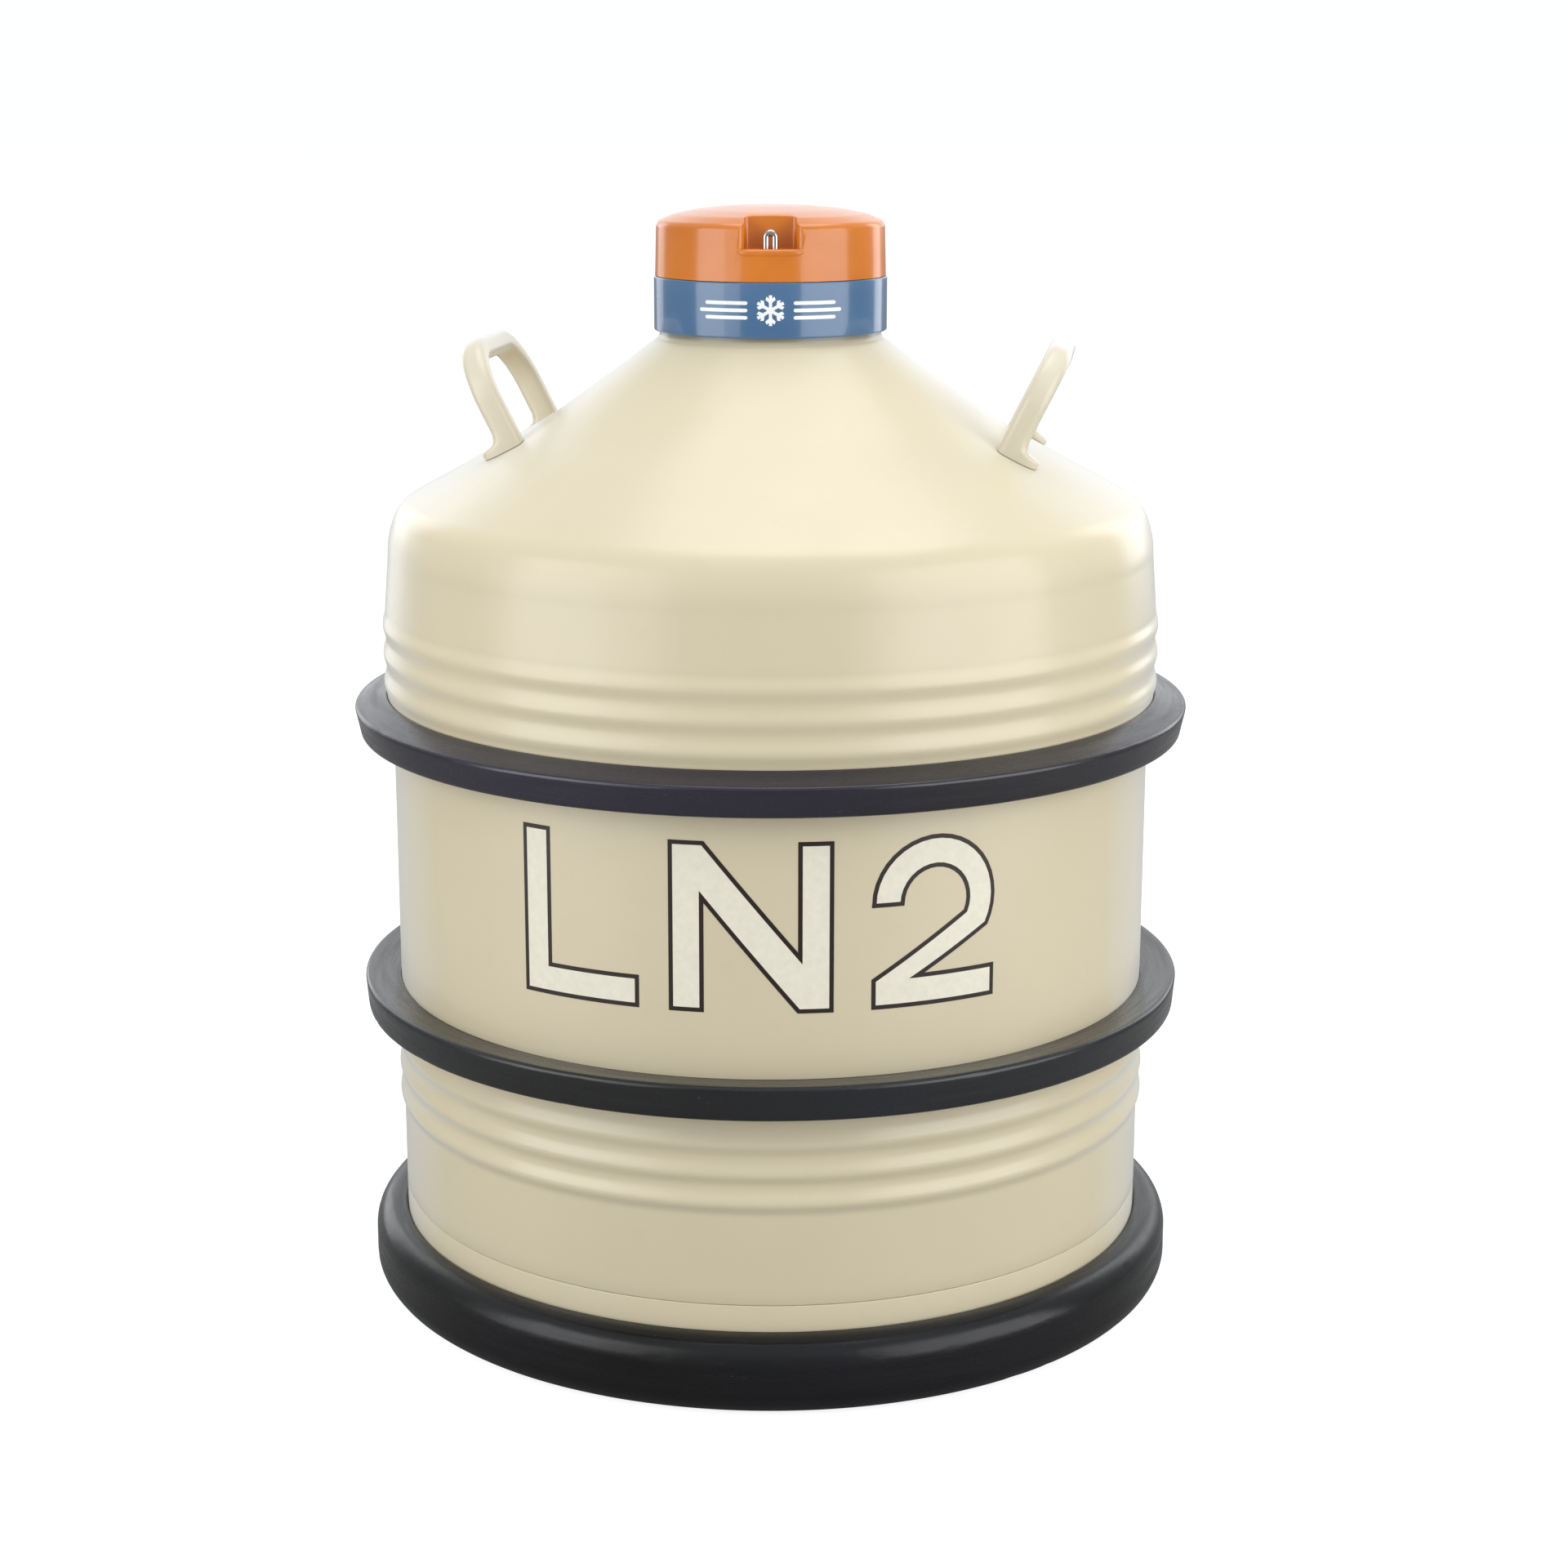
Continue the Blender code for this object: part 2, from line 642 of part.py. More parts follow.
def make_neck(blue, alloy, steel, chrome, laminate):
    flange_profile = ring(TUBE_R + GAP, NECK_R, NECK_TOP + GAP, FLANGE_TOP)
    flange = turned("neck_flange", flange_profile, NECK_FACETS, alloy)
    deck = COLLAR_TOP - COLLAR_DECK
    bore = NECK_R + GAP
    profile = [
        (COLLAR_BORE, COLLAR_TOP),
        (COLLAR_BORE, deck),
        (bore, deck),
        (bore, COLLAR_BOTTOM),
        (COLLAR_R - COLLAR_EDGE, COLLAR_BOTTOM),
        (COLLAR_R, COLLAR_BOTTOM + COLLAR_EDGE),
        (COLLAR_R, COLLAR_TOP - COLLAR_EDGE),
        (COLLAR_R - COLLAR_EDGE, COLLAR_TOP),
    ]
    collar = turned("neck_collar", profile, NECK_FACETS, blue)
    places = []
    for number, degrees in enumerate(COLLAR_SCREW_ANGLES, 1):
        x, y = polar(COLLAR_SCREW_R, degrees)
        places.append((x, y, SCREW_HOLE_R, COLLAR_SCREW_HOLE_BOTTOM))
        screw = f"collar_screw_{number}"
        make_screw(screw, x, y, COLLAR_TOP + GAP, -1.0, COLLAR_SCREW_LENGTH, steel)
    for x in (-STAPLE_HALF_SPAN, STAPLE_HALF_SPAN):
        places.append((x, STAPLE_Y, STAPLE_HOLE_R, STAPLE_HOLE_BOTTOM))
    collar_holes = [(x, y, r, deck - OVERRUN, COLLAR_TOP + OVERRUN) for x, y, r, _ in places]
    drill(collar, "cut_collar", collar_holes)
    drill(flange, "cut_flange", [(*place, FLANGE_TOP + OVERRUN) for place in places])
    make_staple(chrome)
    tube = [
        (BORE_R, TUBE_BOTTOM),
        (TUBE_R, TUBE_BOTTOM),
        (TUBE_R, TUBE_TOP - TUBE_EDGE),
        (TUBE_R - TUBE_EDGE, TUBE_TOP),
        (BORE_R + TUBE_EDGE, TUBE_TOP),
        (BORE_R, TUBE_TOP - TUBE_EDGE),
    ]
    turned("neck_tube", tube, TUBE_FACETS, laminate)


def make_vessel(alloy):
    inner_r = VESSEL_R - VESSEL_WALL
    bore = TUBE_R + GAP
    upper = [
        (VESSEL_R, VESSEL_SPLIT + GAP),
        (VESSEL_R, VESSEL_SHOULDER_Z, VESSEL_SHOULDER_RADIUS),
        (SOCKET_R, VESSEL_NECK_Z),
        (SOCKET_R, SOCKET_TOP),
        (bore, SOCKET_TOP),
        (bore, VESSEL_NECK_Z - VESSEL_NECK_DROP),
        (inner_r, VESSEL_SHOULDER_Z - VESSEL_SHOULDER_DROP, VESSEL_SHOULDER_RADIUS - VESSEL_WALL),
        (inner_r, VESSEL_SPLIT + GAP),
    ]
    turned("inner_vessel_upper", rounded(upper, 3), VESSEL_FACETS, alloy)
    rim = VESSEL_BOTTOM + VESSEL_BOTTOM_DISH
    lower = [
        (0.0, VESSEL_BOTTOM),
        (VESSEL_R, rim, VESSEL_BOTTOM_RADIUS),
        (VESSEL_R, VESSEL_SPLIT),
        (inner_r, VESSEL_SPLIT),
        (inner_r, rim + VESSEL_WALL, VESSEL_BOTTOM_RADIUS - VESSEL_WALL),
        (0.0, VESSEL_BOTTOM + VESSEL_WALL),
    ]
    turned("inner_vessel_lower", rounded(lower, 3), VESSEL_FACETS, alloy)


def make_insulation(film, alloy, sieve):
    inside = VESSEL_R + BLANKET_FIT
    outside = inside + BLANKET_THICKNESS
    collar_r = SOCKET_R + BLANKET_FIT
    upper = [
        (inside, VESSEL_SPLIT + GAP),
        (outside, VESSEL_SPLIT + GAP),
        (outside, VESSEL_SHOULDER_Z + BLANKET_SHOULDER_RISE, BLANKET_OUTER_RADIUS),
        (collar_r, SOCKET_TOP),
        (collar_r, VESSEL_NECK_Z + BLANKET_FIT),
        (inside, VESSEL_SHOULDER_Z + BLANKET_FIT, VESSEL_SHOULDER_RADIUS),
    ]
    turned("insulation_upper", rounded(upper, 3), VESSEL_FACETS, film)
    bottom = VESSEL_BOTTOM - BLANKET_FIT
    lower = [
        (inside, VESSEL_SPLIT),
        (inside, bottom, VESSEL_BOTTOM_RADIUS),
        (BLANKET_STEP_R, bottom),
        (BLANKET_STEP_R, BLANKET_STEP_Z),
        (BLANKET_BORE, BLANKET_STEP_Z),
        (BLANKET_BORE, BLANKET_BOTTOM),
        (outside, BLANKET_BOTTOM, BLANKET_LOW_RADIUS),
        (outside, VESSEL_SPLIT),
    ]
    turned("insulation_lower", rounded(lower, 3), VESSEL_FACETS, film)
    make_shield("neck_shield_upper", UPPER_SHIELD, alloy)
    make_shield("neck_shield_lower", LOWER_SHIELD, alloy)
    turned("adsorbent_pack", ring(PACK_BORE, PACK_R, PACK_BOTTOM, PACK_TOP), TUBE_FACETS, sieve)


def make_shield(name, sizes, paint):
    """A thin conical sheet on a hub round the neck tube."""
    height, reach, fall = sizes
    hub = TUBE_R + GAP
    rim = hub + SHIELD_THICKNESS
    profile = [
        (hub, height - SHIELD_HUB),
        (rim, height - SHIELD_HUB),
        (rim, height),
        (reach, height - fall),
        (reach, height - fall + SHIELD_THICKNESS),
        (rim, height + SHIELD_THICKNESS),
        (rim, height + SHIELD_HUB),
        (hub, height + SHIELD_HUB),
    ]
    turned(name, profile, TUBE_FACETS, paint)


def make_support(laminate, alloy):
    floor = HEAD_BOTTOM + SHELL_WALL + GAP
    cup = [
        (0.0, floor),
        (CUP_R, floor),
        (CUP_R, floor + CUP_HEIGHT),
        (CUP_BORE, floor + CUP_HEIGHT),
        (CUP_BORE, floor + CUP_FLOOR),
        (0.0, floor + CUP_FLOOR),
    ]
    turned("support_cup", cup, TUBE_FACETS, alloy)
    post = ring(POST_BORE, POST_R, floor + CUP_FLOOR + GAP, VESSEL_BOTTOM - GAP)
    turned("support_post", post, TUBE_FACETS, laminate)


def port_profiles():
    """(r, z) outlines of the port's stub, plug, seal and cap, along the port's own axis."""
    stub = [
        (PORT_BORE, PORT_ROOT),
        (PORT_ROOT_R, PORT_ROOT),
        (PORT_ROOT_R, PORT_FLANGE_BOTTOM),
        (PORT_FLANGE_R, PORT_FLANGE_BOTTOM),
        (PORT_FLANGE_R, PORT_FLANGE_TOP),
        (PORT_TUBE_R, PORT_FILLET_TOP),
        (PORT_TUBE_R, PORT_TOP),
        (PORT_BORE, PORT_TOP),
    ]
    plug = [
        (0.0, PORT_PLUG_BOTTOM),
        (PORT_PLUG_R, PORT_PLUG_BOTTOM),
        (PORT_PLUG_R, PORT_PLUG_HEAD_BOTTOM),
        (PORT_PLUG_HEAD_R, PORT_PLUG_HEAD_BOTTOM),
        (PORT_PLUG_HEAD_R, PORT_PLUG_TOP),
        (0.0, PORT_PLUG_TOP),
    ]
    seal = []
    for k in range(SEAL_FACETS):
        angle = 2.0 * math.pi * k / SEAL_FACETS
        radius = PORT_SEAL_R + PORT_SEAL_HALF_WIDTH * math.cos(angle)
        seal.append((radius, PORT_SEAL_Z + PORT_SEAL_HALF_HEIGHT * math.sin(angle)))
    cap = [
        (PORT_CAP_BORE, PORT_CAP_BOTTOM),
        (PORT_CAP_R, PORT_CAP_BOTTOM),
        (PORT_CAP_R, PORT_CAP_TOP - PORT_CAP_EDGE),
        (PORT_CAP_R - PORT_CAP_EDGE, PORT_CAP_TOP),
        (0.0, PORT_CAP_TOP),
        (0.0, PORT_CAP_INSIDE),
        (PORT_CAP_BORE, PORT_CAP_INSIDE),
    ]
    return stub, plug, seal, cap


def make_port(dome, alloy, rubber, plastic):
    slope = math.atan2(CONE_BEND[1] - SHOULDER_KNUCKLE[1], SHOULDER_KNUCKLE[0] - CONE_BEND[0])
    base = (0.0, PORT_R, cone_height(PORT_R))
    axis = (0.0, math.sin(slope), math.cos(slope))
    drilled = disc(PORT_HOLE_R, -PORT_HOLE_HALF, PORT_HOLE_HALF)
    cut(dome, cutter("cut_port", turned_along("cut_port", drilled, SMALL_FACETS, base, axis)))
    names = ("port_stub", "port_plug", "port_seal", "port_cap")
    for name, profile, paint in zip(names, port_profiles(), (alloy, alloy, rubber, plastic)):
        add_smooth(name, turned_along(name, profile, SMALL_FACETS, base, axis), paint)


def lid_outline(wall, bottom, edge_radius):
    """The lid's turned outline, or that of the hollow a wall's thickness inside it."""
    corners = [
        (0.0, bottom),
        (LID_BOTTOM_R - wall, bottom),
        (LID_EDGE_R - wall, LID_EDGE_Z - wall, edge_radius),
    ]
    corners += [(radius, height - wall) for radius, height in LID_CROWN]
    corners.append((0.0, LID_TOP - wall))
    return rounded(corners, 3)


def mirrored(corners):
    """A plan outline from its right-hand corners."""
    return corners + [(-x, y) for x, y in reversed(corners)]


def quarter_turns():
    """(sine, cosine) at four even steps of a quarter turn."""
    angles = [math.radians(90.0 * k / 4) for k in range(5)]
    return [(math.sin(angle), math.cos(angle)) for angle in angles]


def notch_outline():
    """Plan of the notch: straight cheeks that roll outwards to the lid's side."""
    outline = []
    for rise, run in quarter_turns():
        x = NOTCH_HALF_BACK - NOTCH_CORNER * (1.0 - rise)
        outline.append((x, -NOTCH_BACK - NOTCH_CORNER * (1.0 - run)))
    flare = NOTCH_HALF_FRONT - NOTCH_HALF_BACK
    for rise, run in quarter_turns():
        x = NOTCH_HALF_BACK + flare * (1.0 - run)
        outline.append((x, -NOTCH_FLARE_START - NOTCH_FLARE * rise))
    outline.append((NOTCH_HALF_FRONT, -NOTCH_FRONT))
    return mirrored(outline)


def lip_outline():
    """Plan of the rounded tongue under the notch."""
    back = (LIP_HALF_BACK, STAPLE_Y)
    front = [polar(LIP_R, -90.0 + LIP_HALF_ANGLE * (k - 4) / 4.0) for k in range(9)]
    return [*front, back, (-back[0], back[1])]


def make_lid_cap(orange):
    cap = turned("lid_cap", lid_outline(0.0, LID_BOTTOM, LID_EDGE_RADIUS), NECK_FACETS, orange)
    hollow_outline = lid_outline(LID_WALL, LID_BOTTOM - OVERRUN, LID_HOLLOW_RADIUS)
    hollow = cutter("cut_hollow", turned_mesh("cut_hollow", hollow_outline, NECK_FACETS))
    housing = prism_mesh(
        "cut_housing", mirrored([HOUSING_BACK, HOUSING_FRONT]), NOTCH_FLOOR - LID_WALL, LID_ABOVE
    )
    cut(hollow, cutter("cut_housing", housing))
    places = [polar(BOSS_RING_R, degrees) for degrees in BOSS_ANGLES]
    drill(hollow, "cut_boss", [(x, y, BOSS_R, PLATE_TOP + GAP, LID_ABOVE) for x, y in places])
    cut(cap, hollow)
    lip_top = NOTCH_FLOOR - GAP
    lip = prism_mesh("lip", lip_outline(), lip_top - LIP_THICKNESS, lip_top)
    combine(cap, cutter("lip", lip), "UNION")
    notch = prism_mesh("cut_notch", notch_outline(), NOTCH_FLOOR, LID_ABOVE)
    cut(cap, cutter("cut_notch", notch))
    slot_back = (SLOT_HALF_LENGTH, STAPLE_Y + SLOT_HALF_WIDTH)
    slot_front = (SLOT_HALF_LENGTH, STAPLE_Y - SLOT_HALF_WIDTH)
    slot = prism_mesh("cut_slot", mirrored([slot_back, slot_front]), PLATE_TOP, LID_EDGE_Z)
    cut(cap, cutter("cut_slot", slot))
    drill(cap, "cut_pilot", [(x, y, SCREW_HOLE_R, PLATE_BOTTOM, PILOT_TOP) for x, y in places])


def make_plug(foam, nylon):
    bore = STUD_R + STUD_FIT
    top = PLATE_BOTTOM - GAP
    plug = [
        (bore, PLUG_BOTTOM),
        (PLUG_R - PLUG_EDGE, PLUG_BOTTOM),
        (PLUG_R, PLUG_BOTTOM + PLUG_EDGE),
        (PLUG_R, top),
        (bore, top),
    ]
    turned("neck_plug", plug, TUBE_FACETS, foam)
    stud = [
        (0.0, STUD_BOTTOM),
        (STUD_TIP_R, STUD_BOTTOM),
        (STUD_R, STUD_BOTTOM + STUD_TIP),
        (STUD_R, STUD_TOP - STUD_TIP),
        (STUD_TIP_R, STUD_TOP),
        (0.0, STUD_TOP),
    ]
    turned("plug_stud", stud, SMALL_FACETS, nylon)
    turned("plug_washer", ring(bore, WASHER_R, WASHER_BOTTOM, WASHER_TOP), TUBE_FACETS, nylon)
    for name, bottom in (
        ("plug_nut_lower", LOWER_NUT_BOTTOM),
        ("plug_nut_upper", PLATE_TOP + GAP),
    ):
        turned(name, ring(NUT_BORE, NUT_R, bottom, bottom + NUT_HEIGHT), HEX, nylon)


def make_lid(orange, white, foam, nylon, steel):
    make_lid_cap(orange)
    outline = ring(STUD_R + GAP, PLATE_R, PLATE_BOTTOM, PLATE_TOP)
    plate = turned("lid_plate", outline, NECK_FACETS, white)
    places = [polar(BOSS_RING_R, degrees) for degrees in BOSS_ANGLES]
    low = PLATE_BOTTOM - OVERRUN
    high = PLATE_TOP + OVERRUN
    drill(plate, "cut_plate", [(x, y, SCREW_HOLE_R, low, high) for x, y in places])
    for number, (x, y) in enumerate(places, 1):
        make_screw(f"lid_screw_{number}", x, y, PLATE_BOTTOM - GAP, 1.0, LID_SCREW_LENGTH, steel)
    make_plug(foam, nylon)


def main():
    clear_scene()
    cream = material("cream_paint", (0.64, 0.57, 0.41), 0.0, 0.35)
    cream_handles = material("cream_handles", (0.64, 0.57, 0.41), 0.0, 0.4)
    rubber = material("black_rubber", (0.022, 0.020, 0.022), 0.0, 0.55)
    orange = material("orange_plastic", (0.70, 0.19, 0.025), 0.0, 0.25)
    blue = material("blue_plastic", (0.075, 0.17, 0.30), 0.0, 0.3)
    chrome = material("chrome", (0.80, 0.80, 0.82), 1.0, 0.12)
    steel = material("stainless_steel", (0.60, 0.60, 0.60), 1.0, 0.3)
    alloy = material("bare_aluminium", (0.72, 0.73, 0.74), 1.0, 0.4)
    laminate = material("glass_laminate", (0.45, 0.50, 0.25), 0.0, 0.45)
    film = material("aluminised_film", (0.80, 0.80, 0.80), 1.0, 0.35)
    sieve = material("adsorbent", (0.30, 0.26, 0.22), 0.0, 0.9)
    white = material("white_plastic", (0.75, 0.75, 0.72), 0.0, 0.4)
    foam = material("plug_foam", (0.72, 0.66, 0.48), 0.0, 0.9)
    nylon = material("nylon", (0.70, 0.68, 0.62), 0.0, 0.5)
    seal = material("seal_rubber", (0.02, 0.02, 0.02), 0.0, 0.6)
    plastic = material("black_plastic", (0.03, 0.03, 0.03), 0.0, 0.45)
    dome = make_shell(cream)
    make_rings(rubber)
    make_handles(cream_handles)
    make_neck(blue, alloy, steel, chrome, laminate)
    make_vessel(alloy)
    make_insulation(film, alloy, sieve)
    make_support(laminate, alloy)
    make_port(dome, alloy, seal, plastic)
    make_lid(orange, white, foam, nylon, steel)


main()
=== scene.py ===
import math

import bmesh
import bpy
from mathutils import Matrix, Vector, noise
from mathutils.geometry import tessellate_polygon


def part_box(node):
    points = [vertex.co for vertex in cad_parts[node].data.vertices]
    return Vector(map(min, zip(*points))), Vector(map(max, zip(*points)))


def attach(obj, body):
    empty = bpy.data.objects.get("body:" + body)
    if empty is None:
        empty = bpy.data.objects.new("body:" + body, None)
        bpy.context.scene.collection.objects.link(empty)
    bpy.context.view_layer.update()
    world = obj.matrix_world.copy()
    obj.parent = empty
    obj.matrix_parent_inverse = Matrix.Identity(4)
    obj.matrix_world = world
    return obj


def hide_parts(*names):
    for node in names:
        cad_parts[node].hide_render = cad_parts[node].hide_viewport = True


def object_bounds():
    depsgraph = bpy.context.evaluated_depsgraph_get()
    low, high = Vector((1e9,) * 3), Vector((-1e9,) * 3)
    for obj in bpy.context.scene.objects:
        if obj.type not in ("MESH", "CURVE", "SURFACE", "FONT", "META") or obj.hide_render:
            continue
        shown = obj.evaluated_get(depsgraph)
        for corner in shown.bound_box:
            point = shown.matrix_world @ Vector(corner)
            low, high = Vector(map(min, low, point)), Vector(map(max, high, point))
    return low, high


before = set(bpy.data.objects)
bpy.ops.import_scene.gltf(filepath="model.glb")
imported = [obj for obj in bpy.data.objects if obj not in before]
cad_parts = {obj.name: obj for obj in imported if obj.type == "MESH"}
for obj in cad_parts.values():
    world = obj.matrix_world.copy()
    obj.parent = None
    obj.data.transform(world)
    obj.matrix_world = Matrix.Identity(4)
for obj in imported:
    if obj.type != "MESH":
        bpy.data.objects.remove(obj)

cad_low, cad_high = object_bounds()

VESSEL = "vessel"
LID = "lid"

# Segments round each turned piece.
SHELL_SEGMENTS = 240
RING_SEGMENTS = 320
NECK_SEGMENTS = 160
SMALL_SEGMENTS = 40
SHARP = math.radians(38.0)
FINE_SHARP = math.radians(25.0)
TINY = 1e-6


# ---------------------------------------------------------------- sizes taken from the frame

def low(node):
    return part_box(node)[0]


def high(node):
    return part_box(node)[1]


def middle(node):
    return (low(node) + high(node)) / 2.0


NECK_TOP = high("neck_band").z
NECK_R = high("neck_band").x
CONE_TOP = high("outer_dome").z
SKIRT_BOTTOM = low("outer_dome").z
CYLINDER_TOP = high("outer_cylinder").z
CYLINDER_BOTTOM = low("outer_cylinder").z
CYLINDER_CREST = high("outer_cylinder").x
HEAD_TOP = high("outer_bottom_head").z
HEAD_BOTTOM = low("outer_bottom_head").z
COLLAR_R = high("neck_collar").x
COLLAR_TOP = high("neck_collar").z
COLLAR_BOTTOM = low("neck_collar").z
LID_TOP = high("lid_cap").z
LID_BOTTOM = low("lid_cap").z

SHELL_WALL = 0.0030
SHOULDER_R = 0.2335
SHOULDER_KNUCKLE = (0.2264, 0.4906)
SHOULDER_KNUCKLE_RADIUS = 0.0220
SHOULDER_TURN_Z = 0.4730
SHOULDER_TURN_RADIUS = 0.0550
SHOULDER_FOOT_Z = 0.4610
CONE_BEND = (0.1340, 0.5413)
SKIRT_R = 0.2362
CYLINDER_R = 0.2328
BEAD_PITCH = 0.0176
SKIRT_BEADS = (0.4195, 0.4019, 0.3843)
CYLINDER_BEADS = (0.1584, 0.1408, 0.1232)
BEND_RADIUS = 0.3000
NECK_FILLET = 0.0042

# The painted cone below its fillet, as (r, z, radius, steps).
CONE_CORNERS = (
    (*CONE_BEND, BEND_RADIUS, 10), (*SHOULDER_KNUCKLE, SHOULDER_KNUCKLE_RADIUS, 18),
    (SHOULDER_R, SHOULDER_TURN_Z, SHOULDER_TURN_RADIUS, 14),
)

SCREW_HOLE_R = 0.0022
STAPLE_WIRE_R = 0.0020
STAPLE_LEG_X = 0.0027


# ---------------------------------------------------------------- outlines

def rounded(corners, steps=8):
    """A path through (r, z) corners, with an arc where a corner adds a radius."""
    path = []
    for i, corner in enumerate(corners):
        here = Vector(corner[:2])
        if len(corner) < 3:
            path.append(tuple(here))
            continue
        radius = corner[2]
        count = corner[3] if len(corner) > 3 else steps
        back = (Vector(corners[i - 1][:2]) - here).normalized()
        ahead = (Vector(corners[(i + 1) % len(corners)][:2]) - here).normalized()
        half = math.acos(max(-1.0, min(1.0, back.dot(ahead)))) / 2.0
        centre = here + (back + ahead).normalized() * (radius / math.sin(half))
        start = here + back * (radius / math.tan(half)) - centre
        turn = math.pi - 2.0 * half
        side = 1.0 if back.cross(ahead) < 0.0 else -1.0
        for k in range(count + 1):
            path.append(tuple(centre + Matrix.Rotation(side * turn * k / count, 2) @ start))
    return path


def bead_run(crests, crest_r, base_r, sharpness, steps=14):
    """A run of softly rounded beads, from the top one down."""
    path = []
    top = crests[0] + BEAD_PITCH / 2.0
    bottom = crests[-1] - BEAD_PITCH / 2.0
    count = steps * len(crests)
    for k in range(count + 1):
        z = top + (bottom - top) * k / count
        phase = (top - z) / BEAD_PITCH
        lift = 0.5 - 0.5 * math.cos(2.0 * math.pi * phase)
        path.append((base_r + (crest_r - base_r) * lift ** sharpness, z))
    return path


# ---------------------------------------------------------------- meshes

def add_object(name, data):
    obj = bpy.data.objects.new(name, data)
    bpy.context.scene.collection.objects.link(obj)
    return obj


def mesh_from(form, name):
    """Turns a form into a mesh, and frees the form."""
    mesh = bpy.data.meshes.new(name)
    form.to_mesh(mesh)
    form.free()
    return mesh


def solid_object(form, name):
    """An object made of a closed form, with its faces pointing outwards."""
    bmesh.ops.recalc_face_normals(form, faces=form.faces)
    return add_object(name, mesh_from(form, name))


def finish_mesh(name, form, material, body, replaces=(), sharp=SHARP):
    bmesh.ops.remove_doubles(form, verts=form.verts, dist=1e-7)
    obj = solid_object(form, name)
    smooth(obj, sharp)
    obj.data.materials.append(material)
    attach(obj, body)
    if replaces:
        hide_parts(*replaces)
    return obj


def smooth(obj, sharp=SHARP):
    for polygon in obj.data.polygons:
        polygon.use_smooth = True
    obj.data.set_sharp_from_angle(angle=sharp)


def spin(form, outline, segments, place=None):
    """Adds the closed solid of an (r, z) outline turned about Z."""
    rows = []
    for r, z in outline:
        if r < TINY:
            rows.append([form.verts.new((0.0, 0.0, z))])
            continue
        row = []
        for k in range(segments):
            angle = 2.0 * math.pi * k / segments
            row.append(form.verts.new((r * math.cos(angle), r * math.sin(angle), z)))
        rows.append(row)
    if place is not None:
        for row in rows:
            for vert in row:
                vert.co = place @ vert.co
    for i, row in enumerate(rows):
        after = rows[(i + 1) % len(rows)]
        if len(row) == 1 and len(after) == 1:
            continue
        for k in range(segments):
            near = (k + 1) % segments
            corners = [row[k % len(row)], row[near % len(row)]]
            corners += [after[near % len(after)], after[k % len(after)]]
            form.faces.new(list(dict.fromkeys(corners)))


def loft(form, rows, capped=True):
    """Adds a skin through equal closed rows of points."""
    made = [[form.verts.new(point) for point in row] for row in rows]
    size = len(made[0])
    for here, after in zip(made, made[1:]):
        for k in range(size):
            near = (k + 1) % size
            form.faces.new((here[k], here[near], after[near], after[k]))
    if capped:
        form.faces.new(made[0])
        form.faces.new(made[-1])


def turned(name, outline, segments, material, body, replaces=(), place=None, sharp=SHARP):
    form = bmesh.new()
    spin(form, outline, segments, place)
    return finish_mesh(name, form, material, body, replaces, sharp)


def carve(obj, form, operation="DIFFERENCE"):
    """Cuts a closed form from obj, joins it on, or keeps what they share."""
    tool = solid_object(form, "tool")
    step = obj.modifiers.new("carve", "BOOLEAN")
    step.solver = "EXACT"
    step.operation = operation
    step.object = tool
    bpy.context.view_layer.update()
    graph = bpy.context.evaluated_depsgraph_get()
    made = bpy.data.meshes.new_from_object(obj.evaluated_get(graph), depsgraph=graph)
    obj.modifiers.remove(step)
    bpy.data.objects.remove(tool)
    obj.data = made
    smooth(obj)


def cylinders(places, segments=SMALL_SEGMENTS):
    """A form of upright round bars, each given as (x, y, radius, bottom, top)."""
    form = bmesh.new()
    for x, y, radius, bottom, top in places:
        outline = [(0.0, bottom), (radius, bottom), (radius, top), (0.0, top)]
        spin(form, outline, segments, Matrix.Translation((x, y, 0.0)))
    return form


def prism(outline, bottom, top):
    form = bmesh.new()
    loft(form, [[(x, y, z) for x, y in outline] for z in (bottom, top)])
    return form


def heading(points, i):
    """The direction of a path at its point i."""
    return (points[min(i + 1, len(points) - 1)] - points[max(i - 1, 0)]).normalized()


def mirrored(half):
    """A plan outline from its right half."""
    return half + [(-x, y) for x, y in reversed(half)]


def polar(radius, degrees):
    angle = math.radians(degrees)
    return radius * math.cos(angle), radius * math.sin(angle)


# ---------------------------------------------------------------- materials

